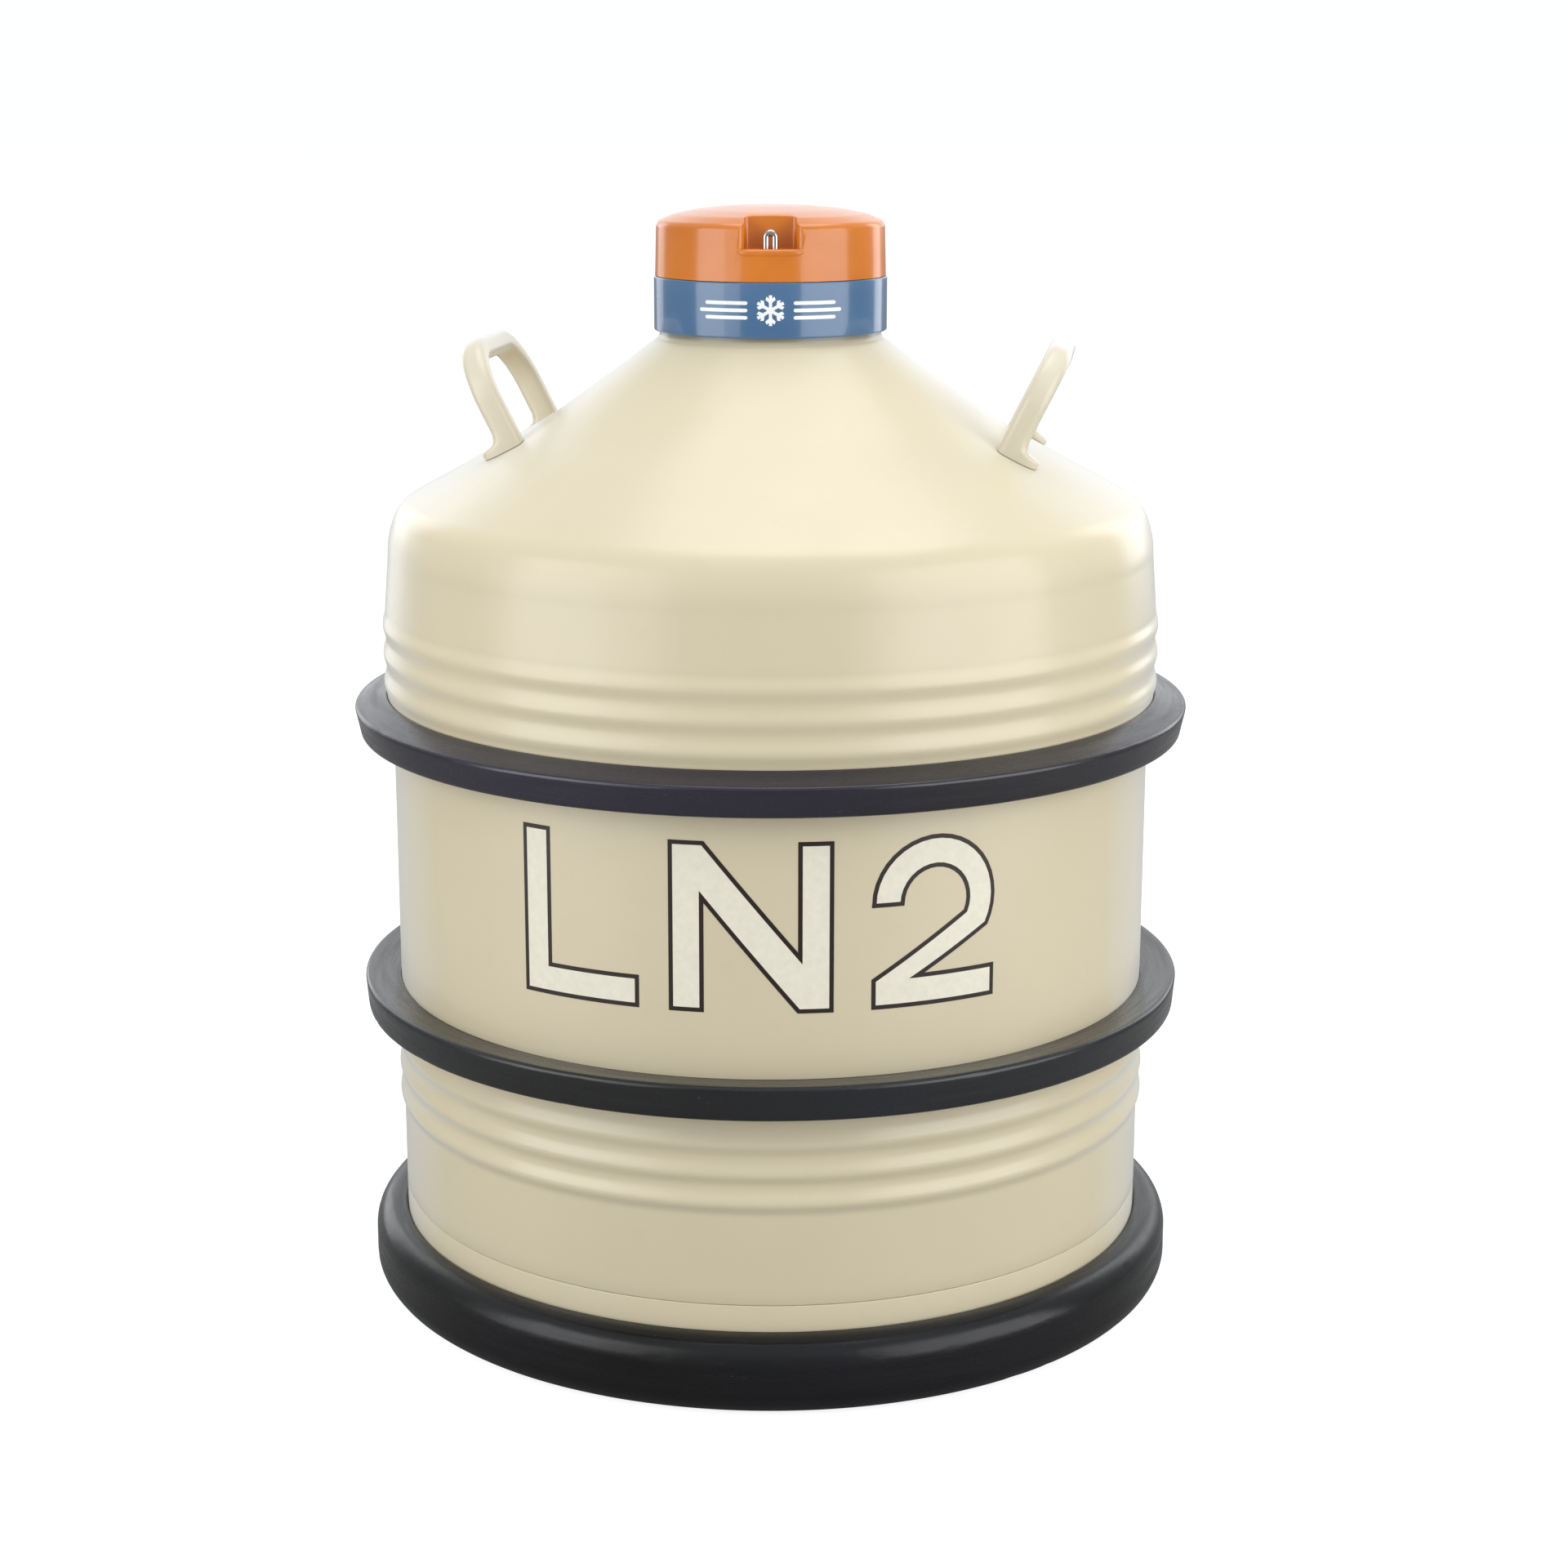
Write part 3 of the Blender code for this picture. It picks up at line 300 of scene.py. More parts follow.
class Look:
    """A node material around one Principled shader, in the object's own coordinates."""

    def __init__(self, name, **fixed):
        self.material = bpy.data.materials.new(name)
        self.material.use_nodes = True
        self.tree = self.material.node_tree
        self.surface = self.tree.nodes["Principled BSDF"]
        self.here = self.tree.nodes.new("ShaderNodeTexCoord").outputs["Object"]
        for socket, value in fixed.items():
            self.surface.inputs[socket.replace("_", " ")].default_value = value

    def feed(self, socket, value):
        if isinstance(value, bpy.types.NodeSocket):
            self.tree.links.new(value, socket)
        else:
            socket.default_value = value

    def node(self, kind, inputs, output=0, **settings):
        made = self.tree.nodes.new(kind)
        for key, value in settings.items():
            setattr(made, key, value)
        for key, value in inputs.items():
            self.feed(made.inputs[key], value)
        return made.outputs[output]

    def noise(self, scale, detail=2.0, rough=0.5, at=None, distortion=0.0):
        at = at or self.here
        inputs = {"Vector": at, "Scale": scale, "Detail": detail, "Roughness": rough}
        inputs["Distortion"] = distortion
        return self.node("ShaderNodeTexNoise", inputs, "Fac")

    def cells(self, scale, feature="F1"):
        inputs = {"Vector": self.here, "Scale": scale}
        return self.node("ShaderNodeTexVoronoi", inputs, "Distance", feature=feature)

    def maths(self, operation, a, b=0.0):
        return self.node("ShaderNodeMath", {0: a, 1: b}, 0, operation=operation)

    def span(self, value, low_in, high_in, low_out, high_out):
        inputs = {"Value": value, "From Min": low_in, "From Max": high_in}
        inputs.update({"To Min": low_out, "To Max": high_out})
        return self.node("ShaderNodeMapRange", inputs, "Result")

    def mix(self, factor, a, b):
        inputs = {0: factor, 6: self.rgba(a), 7: self.rgba(b)}
        return self.node("ShaderNodeMix", inputs, 2, data_type="RGBA")

    def mottled(self, colour, least, most, *grain):
        """The colour, uneven between two strengths."""
        return self.mix(self.noise(*grain), tint(colour, least), tint(colour, most))

    @staticmethod
    def rgba(colour):
        return colour if isinstance(colour, bpy.types.NodeSocket) else (*colour[:3], 1.0)

    def parts(self):
        """The x, y and z of this point."""
        split = self.tree.nodes.new("ShaderNodeSeparateXYZ")
        self.feed(split.inputs[0], self.here)
        return split.outputs[0], split.outputs[1], split.outputs[2]

    def joined(self, x, y, z):
        return self.node("ShaderNodeCombineXYZ", {0: x, 1: y, 2: z})

    def round_streaks(self, along, across):
        """Coordinates that stretch a texture round the Z axis."""
        x, y, z = self.parts()
        flat = self.joined(x, y, 0.0)
        radius = self.node("ShaderNodeVectorMath", {0: flat}, "Value", operation="LENGTH")
        up = self.maths("MULTIPLY", self.maths("ADD", z, radius), across)
        return self.joined(self.maths("MULTIPLY", x, along), self.maths("MULTIPLY", y, along), up)

    def colour(self, value):
        self.feed(self.surface.inputs["Base Color"], value)

    def roughness(self, value):
        self.feed(self.surface.inputs["Roughness"], value)

    def patchy_roughness(self, scale, detail, least, most):
        self.roughness(self.span(self.noise(scale, detail), 0.3, 0.7, least, most))

    def bump(self, *layers):
        """Layers of (height, distance in metres), each on top of the last."""
        normal = None
        for height, distance in layers:
            made = self.tree.nodes.new("ShaderNodeBump")
            made.inputs["Strength"].default_value = 1.0
            made.inputs["Distance"].default_value = distance
            self.feed(made.inputs["Height"], height)
            if normal is not None:
                self.feed(made.inputs["Normal"], normal)
            normal = made.outputs["Normal"]
        self.feed(self.surface.inputs["Normal"], normal)


def tint(colour, factor):
    return tuple(channel * factor for channel in colour)


def paint(name, colour, roughness=0.34):
    """Satin stoved paint: orange peel, soft mottling, a little dust, painted shade on the neck below the
    collar and a painted pale reflection along the grazing rim.
    """
    look = Look(name, Coat_Weight=0.28, Coat_Roughness=0.20, Coat_IOR=1.5)
    tone = look.mottled(colour, 0.965, 1.03, 9.0, 3.0, 0.55)
    # Painted shade: the neck band just under the collar is mixed towards a dark grey.
    neck_shade = look.span(look.parts()[2], CONE_TOP - 0.001, CONE_TOP + 0.002, 0.0, 0.85)
    tone = look.mix(neck_shade, tone, NECK_SHADE)
    dust = look.span(look.noise(70.0, 5.0, 0.6), 0.56, 0.78, 0.0, 0.22)
    tone = look.mix(dust, tone, tint(colour, 0.90))
    # Painted reflection: towards grazing edges the colour turns pale, like the white surroundings reflected
    # in the paint.
    facing = look.node("ShaderNodeLayerWeight", {"Blend": 0.5}, "Facing")
    look.colour(look.mix(look.span(facing, 0.58, 0.92, 0.0, 0.75), tone, PAINT_RIM_REFLECTION))
    look.patchy_roughness(24.0, 4.0, roughness - 0.05, roughness + 0.06)
    look.bump((look.noise(260.0, 2.0), 0.000045), (look.noise(1400.0, 1.0), 0.000012))
    return look.material


def rubber(name, colour, sheen_tint, scuff, roughness, gleam=0.5):
    """Moulded black rubber: long soft streaks round the ring, patches of painted bluish sheen, scuffs and
    specks.
    """
    look = Look(name, Specular_IOR_Level=gleam)
    broad = look.noise(1.0, 3.0, 0.5, at=look.round_streaks(7.0, 60.0), distortion=0.8)
    fine = look.noise(1.0, 4.0, 0.6, at=look.round_streaks(18.0, 330.0))
    sheen_patches = look.noise(5.0, 3.0, 0.5, distortion=0.5)
    marks = look.noise(1.0, 6.0, 0.7, at=look.round_streaks(70.0, 200.0), distortion=0.6)
    specks = look.noise(420.0, 2.0, 0.6)
    tone = look.mix(look.span(broad, 0.35, 0.65, 0.0, 1.0), tint(colour, 0.7), tint(colour, 1.25))
    # Painted sheen: patches of the colour are tinted towards a bluish sheen.
    tone = look.mix(look.span(sheen_patches, 0.42, 0.68, 0.0, 1.0), tone, sheen_tint)
    tone = look.mix(look.span(marks, 0.64, 0.78, 0.0, 0.7), tone, scuff)
    look.colour(look.mix(look.span(specks, 0.74, 0.80, 0.0, 0.8), tone, tint(scuff, 3.0)))
    look.roughness(look.span(fine, 0.3, 0.7, roughness - 0.05, roughness + 0.12))
    look.bump((broad, 0.00035), (fine, 0.00005), (marks, 0.00012))
    return look.material


def gloss(name, colour, dark, coat, roughness=0.20):
    """Glossy moulded plastic with faint flow marks and hairline rubbing."""
    look = Look(name, Coat_Weight=coat, Coat_Roughness=0.07, Coat_IOR=1.5, IOR=1.5)
    flow = look.noise(28.0, 3.0, 0.5, distortion=0.4)
    tone = look.mix(look.span(flow, 0.3, 0.7, 0.0, 1.0), dark, colour)
    rub = look.noise(1.0, 4.0, 0.7, at=look.round_streaks(160.0, 900.0))
    look.colour(look.mix(look.span(rub, 0.64, 0.8, 0.0, 0.12), tone, tint(colour, 1.12)))
    look.roughness(look.span(rub, 0.4, 0.75, roughness, roughness + 0.06))
    look.bump((look.noise(60.0, 1.0), 0.00002), (rub, 0.000001))
    return look.material


def satin(name, colour, roughness=0.45):
    """Plain satin moulding."""
    look = Look(name)
    look.colour(look.mottled(colour, 0.9, 1.06, 45.0, 3.0))
    look.patchy_roughness(160.0, 3.0, roughness - 0.07, roughness + 0.08)
    look.bump((look.noise(900.0, 2.0), 0.00002))
    return look.material


def metal(name, colour, roughness, along=60.0, across=1800.0, depth=0.00001):
    """Turned or drawn metal with fine lines round the axis."""
    look = Look(name, Metallic=1.0)
    lines = look.noise(1.0, 4.0, 0.6, at=look.round_streaks(along, across))
    smear = look.noise(40.0, 3.0, 0.55)
    tone = look.mix(look.span(lines, 0.3, 0.7, 0.0, 1.0), tint(colour, 0.86), colour)
    look.colour(look.mix(look.span(smear, 0.5, 0.75, 0.0, 0.3), tone, tint(colour, 0.8)))
    look.roughness(look.span(lines, 0.3, 0.7, roughness * 0.8, roughness * 1.25))
    look.bump((lines, depth))
    return look.material


def foam(name, colour):
    """Rigid closed-cell foam with a skin of fine pores, with painted shade darkening the pores."""
    look = Look(name)
    pores = look.cells(700.0)
    tone = look.mottled(colour, 0.86, 1.05, 60.0, 4.0)
    # Painted shade: the pores are darkened.
    look.colour(look.mix(look.span(pores, 0.0, 0.35, 0.5, 0.0), tone, tint(colour, 0.6)))
    look.patchy_roughness(300.0, 2.0, 0.82, 0.95)
    look.bump((look.span(pores, 0.0, 0.45, 0.0, 1.0), 0.00025), (look.noise(90.0, 3.0), 0.0002))
    return look.material


def laminate(name, colour):
    """Glass-fibre laminate: crossed rovings under clear resin."""
    look = Look(name, Coat_Weight=0.5, Coat_Roughness=0.15)
    x, y, z = look.parts()
    around = look.maths("MULTIPLY", look.maths("ARCTAN2", x, look.maths("MULTIPLY", y, -1.0)), 30.0)
    warp = look.maths("SINE", look.maths("MULTIPLY", around, 3.0))
    weft = look.maths("SINE", look.maths("MULTIPLY", z, 2600.0))
    weave = look.maths("MULTIPLY", warp, weft)
    tone = look.mix(look.span(weave, -1.0, 1.0, 0.0, 1.0), tint(colour, 0.78), tint(colour, 1.12))
    look.colour(look.mix(look.noise(50.0, 3.0), tone, tint(colour, 0.9)))
    look.roughness(look.span(weave, -1.0, 1.0, 0.35, 0.5))
    look.bump((weave, 0.00004))
    return look.material


def film(name, colour):
    """Crinkled aluminised film."""
    look = Look(name, Metallic=1.0)
    creases = look.cells(55.0, feature="DISTANCE_TO_EDGE")
    look.colour(look.mottled(colour, 0.8, 1.0, 30.0, 4.0))
    look.patchy_roughness(80.0, 3.0, 0.2, 0.38)
    look.bump((look.span(creases, 0.0, 0.2, 0.0, 1.0), 0.0012), (look.noise(200.0, 3.0), 0.0004))
    return look.material


def granules(name, colour):
    """Loose granules under a thin mesh, with painted light on the grains and painted shade in the gaps
    between them.
    """
    look = Look(name)
    grains = look.cells(380.0)
    # Painted light and shade: grain centres lighter, gaps between grains darker.
    look.colour(look.mix(look.span(grains, 0.0, 0.5, 0.0, 1.0), tint(colour, 1.2), tint(colour, 0.5)))
    look.patchy_roughness(200.0, 2.0, 0.85, 0.97)
    look.bump((look.span(grains, 0.0, 0.5, 1.0, 0.0), 0.0012))
    return look.material


def ink(name, colour, roughness=0.4):
    """Screen-printed ink, a little uneven in cover."""
    look = Look(name)
    look.colour(look.mottled(colour, 0.86, 1.06, 220.0, 4.0, 0.6))
    look.patchy_roughness(400.0, 2.0, roughness - 0.06, roughness + 0.1)
    look.bump((look.noise(1600.0, 2.0), 0.00001))
    return look.material


CREAM = (0.650, 0.575, 0.402)
# Dark grey for the painted shade on the neck band under the collar.
NECK_SHADE = (0.155, 0.155, 0.130)
# Pale colour for the painted rim reflection at grazing edges.
PAINT_RIM_REFLECTION = (0.76, 0.76, 0.72)
cream = paint("cream_paint", CREAM)
# A paler, less yellow copy of the cream paint: painted light on the handles' faces.
handle_cream_lit = paint("cream_handle_paint", (0.67, 0.61, 0.47), 0.32)
# One black rubber in three copies that get darker from the upper ring down to the foot ring: painted shade.
black_high = rubber(
    "black_rubber_upper", (0.0085, 0.0070, 0.0105), (0.014, 0.011, 0.024), (0.040, 0.030, 0.030), 0.22, 0.62
)
black_low_shaded = rubber(
    "black_rubber_lower_shaded", (0.0060, 0.0060, 0.0060), (0.009, 0.0095, 0.013), (0.028, 0.026, 0.024), 0.22, 0.55
)
black_foot_shaded = rubber(
    "black_rubber_foot_shaded", (0.0045, 0.0045, 0.0042), (0.008, 0.008, 0.012), (0.024, 0.023, 0.022), 0.23, 0.34
)
orange = gloss("orange_plastic", (0.66, 0.195, 0.018), (0.60, 0.165, 0.012), 0.32)
blue = gloss("blue_plastic", (0.068, 0.158, 0.300), (0.058, 0.138, 0.268), 0.55)
chrome = metal("chrome", (0.56, 0.52, 0.52), 0.11, 300.0, 300.0, 0.000004)
steel = metal("stainless_steel", (0.62, 0.61, 0.60), 0.26)
alloy = metal("bare_aluminium", (0.78, 0.79, 0.80), 0.34)
green_laminate = laminate("glass_laminate", (0.46, 0.50, 0.27))
silver_film = film("aluminised_film", (0.85, 0.85, 0.86))
sieve = granules("adsorbent", (0.32, 0.27, 0.22))
white_plastic = satin("white_plastic", (0.78, 0.77, 0.73))
cream_foam = foam("plug_foam", (0.76, 0.70, 0.53))
nylon = satin("nylon", (0.74, 0.71, 0.64), 0.5)
seal_rubber = rubber("seal_rubber", (0.020, 0.020, 0.020), (0.025, 0.025, 0.025), (0.05, 0.05, 0.05), 0.5)
black_plastic = satin("black_plastic", (0.030, 0.030, 0.031), 0.42)
outline_ink = ink("outline_ink", (0.016, 0.007, 0.004))
pale_ink = ink("pale_ink", (0.84, 0.80, 0.66))
white_ink = ink("white_ink", (0.90, 0.92, 0.93), 0.3)


# ---------------------------------------------------------------- shell

def make_dome():
    outer = rounded([
        (NECK_R, NECK_TOP), (NECK_R, CONE_TOP, NECK_FILLET, 8),
        *CONE_CORNERS,
        (SHOULDER_R + 0.0001, SHOULDER_FOOT_Z, 0.0500, 5),
        (SKIRT_R, SKIRT_BEADS[0] + BEAD_PITCH / 2.0 + 0.001, 0.0500, 5),
        (SKIRT_R, SKIRT_BEADS[0] + BEAD_PITCH / 2.0 - 0.001),
    ])[:-1]
    outer += bead_run(SKIRT_BEADS, SKIRT_R + 0.0017, SKIRT_R, 1.1)
    outer += rounded([(SKIRT_R, 0.3700), (SKIRT_R, SKIRT_BOTTOM, 0.0008, 3), (0.2340, SKIRT_BOTTOM)])[1:]
    inner_skirt = SKIRT_R - SHELL_WALL
    inner = rounded([
        (inner_skirt, SKIRT_BOTTOM), (inner_skirt, 0.4300),
        (SHOULDER_R - SHELL_WALL, SHOULDER_FOOT_Z),
        (SHOULDER_R - SHELL_WALL, SHOULDER_TURN_Z - 0.0006, SHOULDER_TURN_RADIUS - SHELL_WALL, 8),
        (SHOULDER_KNUCKLE[0] - 0.0023, SHOULDER_KNUCKLE[1] - 0.0022, 0.0190, 8),
        (CONE_BEND[0] - 0.0016, CONE_BEND[1] - 0.0025),
        (NECK_R - SHELL_WALL, CONE_TOP - 0.0015), (NECK_R - SHELL_WALL, NECK_TOP),
    ])
    dome = turned(
        "dome_shell", outer + inner, SHELL_SEGMENTS, cream, VESSEL,
        ("outer_dome", "neck_band"),
    )
    hole = bmesh.new()
    outline = [(0.0, -0.010), (0.0064, -0.010), (0.0064, 0.010), (0.0, 0.010)]
    spin(hole, outline, SMALL_SEGMENTS, port_place())
    carve(dome, hole)
    return dome


def make_cylinder():
    inner_r = CYLINDER_R - 0.0028
    wall = [(CYLINDER_R, CYLINDER_TOP)]
    wall += bead_run(CYLINDER_BEADS, CYLINDER_CREST, CYLINDER_R, 1.3)
    wall += rounded([
        (CYLINDER_R, 0.0700), (CYLINDER_R, CYLINDER_BOTTOM, 0.0006, 3),
        (inner_r, CYLINDER_BOTTOM), (inner_r, CYLINDER_TOP),
    ])
    turned("body_cylinder", wall, SHELL_SEGMENTS, cream, VESSEL, ("outer_cylinder",))
    lap_r = inner_r - 0.0003
    head_r = CYLINDER_R - 0.0001
    lip = CYLINDER_BOTTOM - 0.0002
    head = [
        (0.0, HEAD_BOTTOM + SHELL_WALL),
        (lap_r - SHELL_WALL, HEAD_BOTTOM + SHELL_WALL, 0.0170, 12),
        (lap_r - SHELL_WALL, HEAD_TOP), (lap_r, HEAD_TOP), (lap_r, lip), (head_r, lip, 0.0006, 3),
        (head_r, HEAD_BOTTOM, 0.0220, 14), (0.1500, HEAD_BOTTOM), (0.1480, HEAD_BOTTOM + 0.0012),
        (0.0620, HEAD_BOTTOM + 0.0012), (0.0600, HEAD_BOTTOM), (0.0, HEAD_BOTTOM),
    ]
    turned(
        "bottom_head", rounded(head), SHELL_SEGMENTS, cream, VESSEL,
        ("outer_bottom_head",),
    )


# ---------------------------------------------------------------- rubber rings

RING_STEP = 0.0030
RING_WEAR = 0.00030
RING_FIT = 0.0004
RING_PROUD = 0.0003
NICK_SHIFT = Vector((7.0, 3.0, 5.0))


def fine_rows(outline, step):
    """The outline with its long runs cut into short ones."""
    made = []
    for (r0, z0), (r1, z1) in zip(outline, outline[1:] + outline[:1]):
        count = max(1, math.ceil(math.hypot(r1 - r0, z1 - z0) / step))
        made += [(r0 + (r1 - r0) * k / count, z0 + (z1 - z0) * k / count) for k in range(count)]
    return made


def ring_piece(name, outline, material, node):
    """A turned rubber ring whose outside is dented and rubbed a little, more along its edges."""
    form = bmesh.new()
    spin(form, fine_rows(outline, RING_STEP), RING_SEGMENTS)
    form.normal_update()
    inner = min(r for r, z in outline)
    for vert in form.verts:
        x, y, z = vert.co
        radius = math.hypot(x, y)
        if radius < inner + 0.004 or z < cad_low.z + 0.0004:
            continue
        long_wave = noise.noise(Vector((x * 22.0, y * 22.0, z * 90.0)))
        nick = noise.noise(Vector((x * 95.0, y * 95.0, z * 160.0)) + NICK_SHIFT)
        edge = 1.0 + 1.6 * abs(vert.normal.z) * math.hypot(vert.normal.x, vert.normal.y) * 2.0
        dent = RING_WEAR * (0.5 + 0.5 * long_wave) + RING_WEAR * edge * max(0.0, nick - 0.42) * 2.2
        vert.co -= Vector((x / radius, y / radius, 0.0)) * dent
    return finish_mesh(name, form, material, VESSEL, (node,))


def make_rings():
    upper_low, upper_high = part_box("roll_ring_upper")
    upper_r = upper_high.x + RING_PROUD
    skirt_bore = SKIRT_R + RING_FIT
    body_bore = CYLINDER_R + RING_FIT
    shoulder = 0.3700
    upper = [
        (skirt_bore, upper_high.z - 0.0006), (skirt_bore, SKIRT_BOTTOM - 0.0003),
        (body_bore, SKIRT_BOTTOM - 0.0003), (body_bore, upper_low.z, 0.0008, 3),
        (upper_r - 0.0038, upper_low.z, 0.0026, 7), (upper_r, shoulder, 0.0024, 8),
        (skirt_bore + 0.0010, upper_high.z, 0.0009, 4),
    ]
    ring_piece("bumper_ring_upper", rounded(upper), black_high, "roll_ring_upper")
    middle_low, middle_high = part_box("roll_ring_middle")
    middle_r = middle_high.x + RING_PROUD
    dip = middle_high.z - 0.0026
    ring = [
        (body_bore, dip), (body_bore, middle_low.z, 0.0008, 3),
        (middle_r - 0.0020, middle_low.z, 0.0028, 7), (middle_r, middle_high.z, 0.0026, 8),
        (body_bore + 0.0010, dip, 0.0008, 3),
    ]
    ring_piece("bumper_ring_middle", rounded(ring), black_low_shaded, "roll_ring_middle")
    foot_low, foot_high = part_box("foot_ring")
    bore = 0.2050
    seat = HEAD_BOTTOM - 0.0005
    wall_r = high("outer_bottom_head").x + 0.0008
    foot = [
        (wall_r, foot_high.z - 0.0010), (wall_r, seat, 0.0220, 10), (bore, seat, 0.0010, 3),
        (bore, foot_low.z, 0.0012, 3), (foot_high.x, foot_low.z, 0.0170, 16),
        (foot_high.x, foot_high.z, 0.0150, 16), (wall_r + 0.0012, foot_high.z, 0.0008, 3),
    ]
    ring_piece("foot_bumper", rounded(foot), black_foot_shaded, "foot_ring")


# ---------------------------------------------------------------- handles

HANDLE_TURN = math.radians(7.5)
HANDLE_LEAN = math.radians(26.5)
HANDLE_REF = (0.1461, 0.5243)
HANDLE_TOP_Z = 0.5881
HANDLE_SPACING = 0.1140
HANDLE_DEPTH = 0.0150
HANDLE_WIDTH = 0.0140
HANDLE_CORNER = 0.0050
HANDLE_ROOT = 0.0120
HANDLE_BEND = 0.0310
LEG_STEP = 0.0007
LEG_ROWS = 64
TOE_REACH = 0.0110
TOE_CURVE = ((0.0, 1.0), (0.0192, 1.0), (0.0204, 0.80), (0.0215, 0.36), (0.0228, 0.18),
             (0.0245, 0.08), (0.0280, 0.0))


def toe_reach(height):
    """How far the foot's outer face stands out at this height above the bar's root."""
    for (z0, v0), (z1, v1) in zip(TOE_CURVE, TOE_CURVE[1:]):
        if height <= z1:
            share = max(0.0, (height - z0) / (z1 - z0))
            share = share * share * (3.0 - 2.0 * share)
            return TOE_REACH * (v0 + (v1 - v0) * share)
    return 0.0


def handle_path():
    """The bar's centre line as (sideways, up the lean), from one foot to the other."""
    half = HANDLE_SPACING / 2.0
    top = (HANDLE_TOP_Z - HANDLE_REF[1]) / math.cos(HANDLE_LEAN) - HANDLE_WIDTH / 2.0
    arc = rounded(
        [(-half, 0.0), (-half, top, HANDLE_BEND, 26), (half, top, HANDLE_BEND, 26), (half, 0.0)]
    )[1:-1]
    leg = [-HANDLE_ROOT + LEG_STEP * k for k in range(LEG_ROWS)]
    leg = [height for height in leg if height < arc[0][1] - 0.001]
    path = [(-half, height) for height in leg] + arc
    return path + [(half, height) for height in reversed(leg)]


def cone_form(grow):
    """The solid under the painted cone, grown by a clearance."""
    top, foot = CONE_TOP + 0.001, 0.4400
    corners = [(NECK_R, top), (NECK_R, CONE_TOP, NECK_FILLET, 4), *CONE_CORNERS, (SHOULDER_R, foot)]
    outline = [(r + grow, z + grow) for r, z in rounded(corners)]
    form = bmesh.new()
    spin(form, outline + [(0.0, foot), (0.0, top)], SHELL_SEGMENTS)
    return form


def make_handle(name, node, side):
    outward = Vector((side * math.cos(HANDLE_TURN), -side * math.sin(HANDLE_TURN), 0.0))
    sideways = Vector((0.0, 0.0, 1.0)).cross(outward)
    upright = outward * math.sin(HANDLE_LEAN) + Vector((0.0, 0.0, math.cos(HANDLE_LEAN)))
    base = outward * HANDLE_REF[0] + Vector((0.0, 0.0, HANDLE_REF[1]))
    face = sideways.cross(upright)
    depth, width = HANDLE_DEPTH / 2.0, HANDLE_WIDTH / 2.0
    corners = [(-depth, -width), (depth, -width), (depth, width), (-depth, width)]
    section = rounded([(*corner, HANDLE_CORNER) for corner in corners], 6)
    path = handle_path()
    points = [base + sideways * a + upright * b for a, b in path]
    rows = []
    for i, here in enumerate(points):
        across = face.cross(heading(points, i))
        reach = toe_reach(path[i][1] + HANDLE_ROOT)
        row = []
        for a, b in section:
            share = max(0.0, a + depth) / (2.0 * depth)
            row.append(here + face * (a + reach * share ** 2) + across * b)
        rows.append(row)
    form = bmesh.new()
    loft(form, rows)
    handle = finish_mesh(name, form, handle_cream_lit, VESSEL, (node,))
    carve(handle, cone_form(0.0003))
    return handle


# ---------------------------------------------------------------- neck

def deck_holes(top, screw_floor, staple_floor, staple_hole_r):
    """Upright holes for the four collar screws and the staple's two legs."""
    spots = [middle(f"collar_screw_{number}") for number in range(1, 5)]
    holes = [(spot.x, spot.y, SCREW_HOLE_R, screw_floor, top) for spot in spots]
    y = middle("lock_staple").y
    holes += [(x, y, staple_hole_r, staple_floor, top) for x in (-STAPLE_LEG_X, STAPLE_LEG_X)]
    return cylinders(holes)


def make_collar():
    bore = NECK_R + 0.0003
    deck = COLLAR_TOP - 0.0032
    hole = 0.0300
    outline = rounded([
        (hole, COLLAR_TOP, 0.0006, 3), (hole, deck), (bore, deck),
        (bore, COLLAR_BOTTOM, 0.0005, 3), (COLLAR_R, COLLAR_BOTTOM, 0.0011, 6),
        (COLLAR_R, COLLAR_TOP, 0.0009, 6),
    ])
    collar = turned(
        "collar", outline, NECK_SEGMENTS, blue, VESSEL, ("neck_collar",)
    )
    carve(collar, deck_holes(COLLAR_TOP + 0.001, deck - 0.001, deck - 0.001, 0.0022))


def make_screw(name, node, up):
    """A pan-head screw with a cross recess. Its head is at the node's top when up, else at its foot."""
    box_low, box_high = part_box(node)
    centre = (box_low + box_high) / 2.0
    length = box_high.z - box_low.z
    head = 0.0022
    shank = length - head
    outline = rounded([
        (0.0, -shank), (0.0010, -shank), (0.0018, -shank + 0.0010), (0.0018, 0.0),
        (0.0038, 0.0, 0.0003, 2), (0.0036, head, 0.0014, 8), (0.0, head),
    ])
    if up:
        place = Matrix.Translation((centre.x, centre.y, box_high.z - head))
    else:
        place = Matrix.Translation((centre.x, centre.y, box_low.z + head))
        place = place @ Matrix.Rotation(math.pi, 4, "X")
    body = VESSEL if up else LID
    screw = turned(
        name, outline, SMALL_SEGMENTS, steel, body, (node,), place
    )
    arm, half = 0.0017, 0.00035
    cross = [(arm, half), (half, half), (half, arm), (-half, arm), (-half, half), (-arm, half)]
    cross += [(-x, -y) for x, y in cross]
    form = bmesh.new()
    place = place @ Matrix.Rotation(math.radians(25.0 + 40.0 * int(node[-1])), 4, "Z")
    heights = (head - 0.0013, head + 0.001)
    loft(form, [[place @ Vector((x, y, z)) for x, y in cross] for z in heights])
    carve(screw, form)


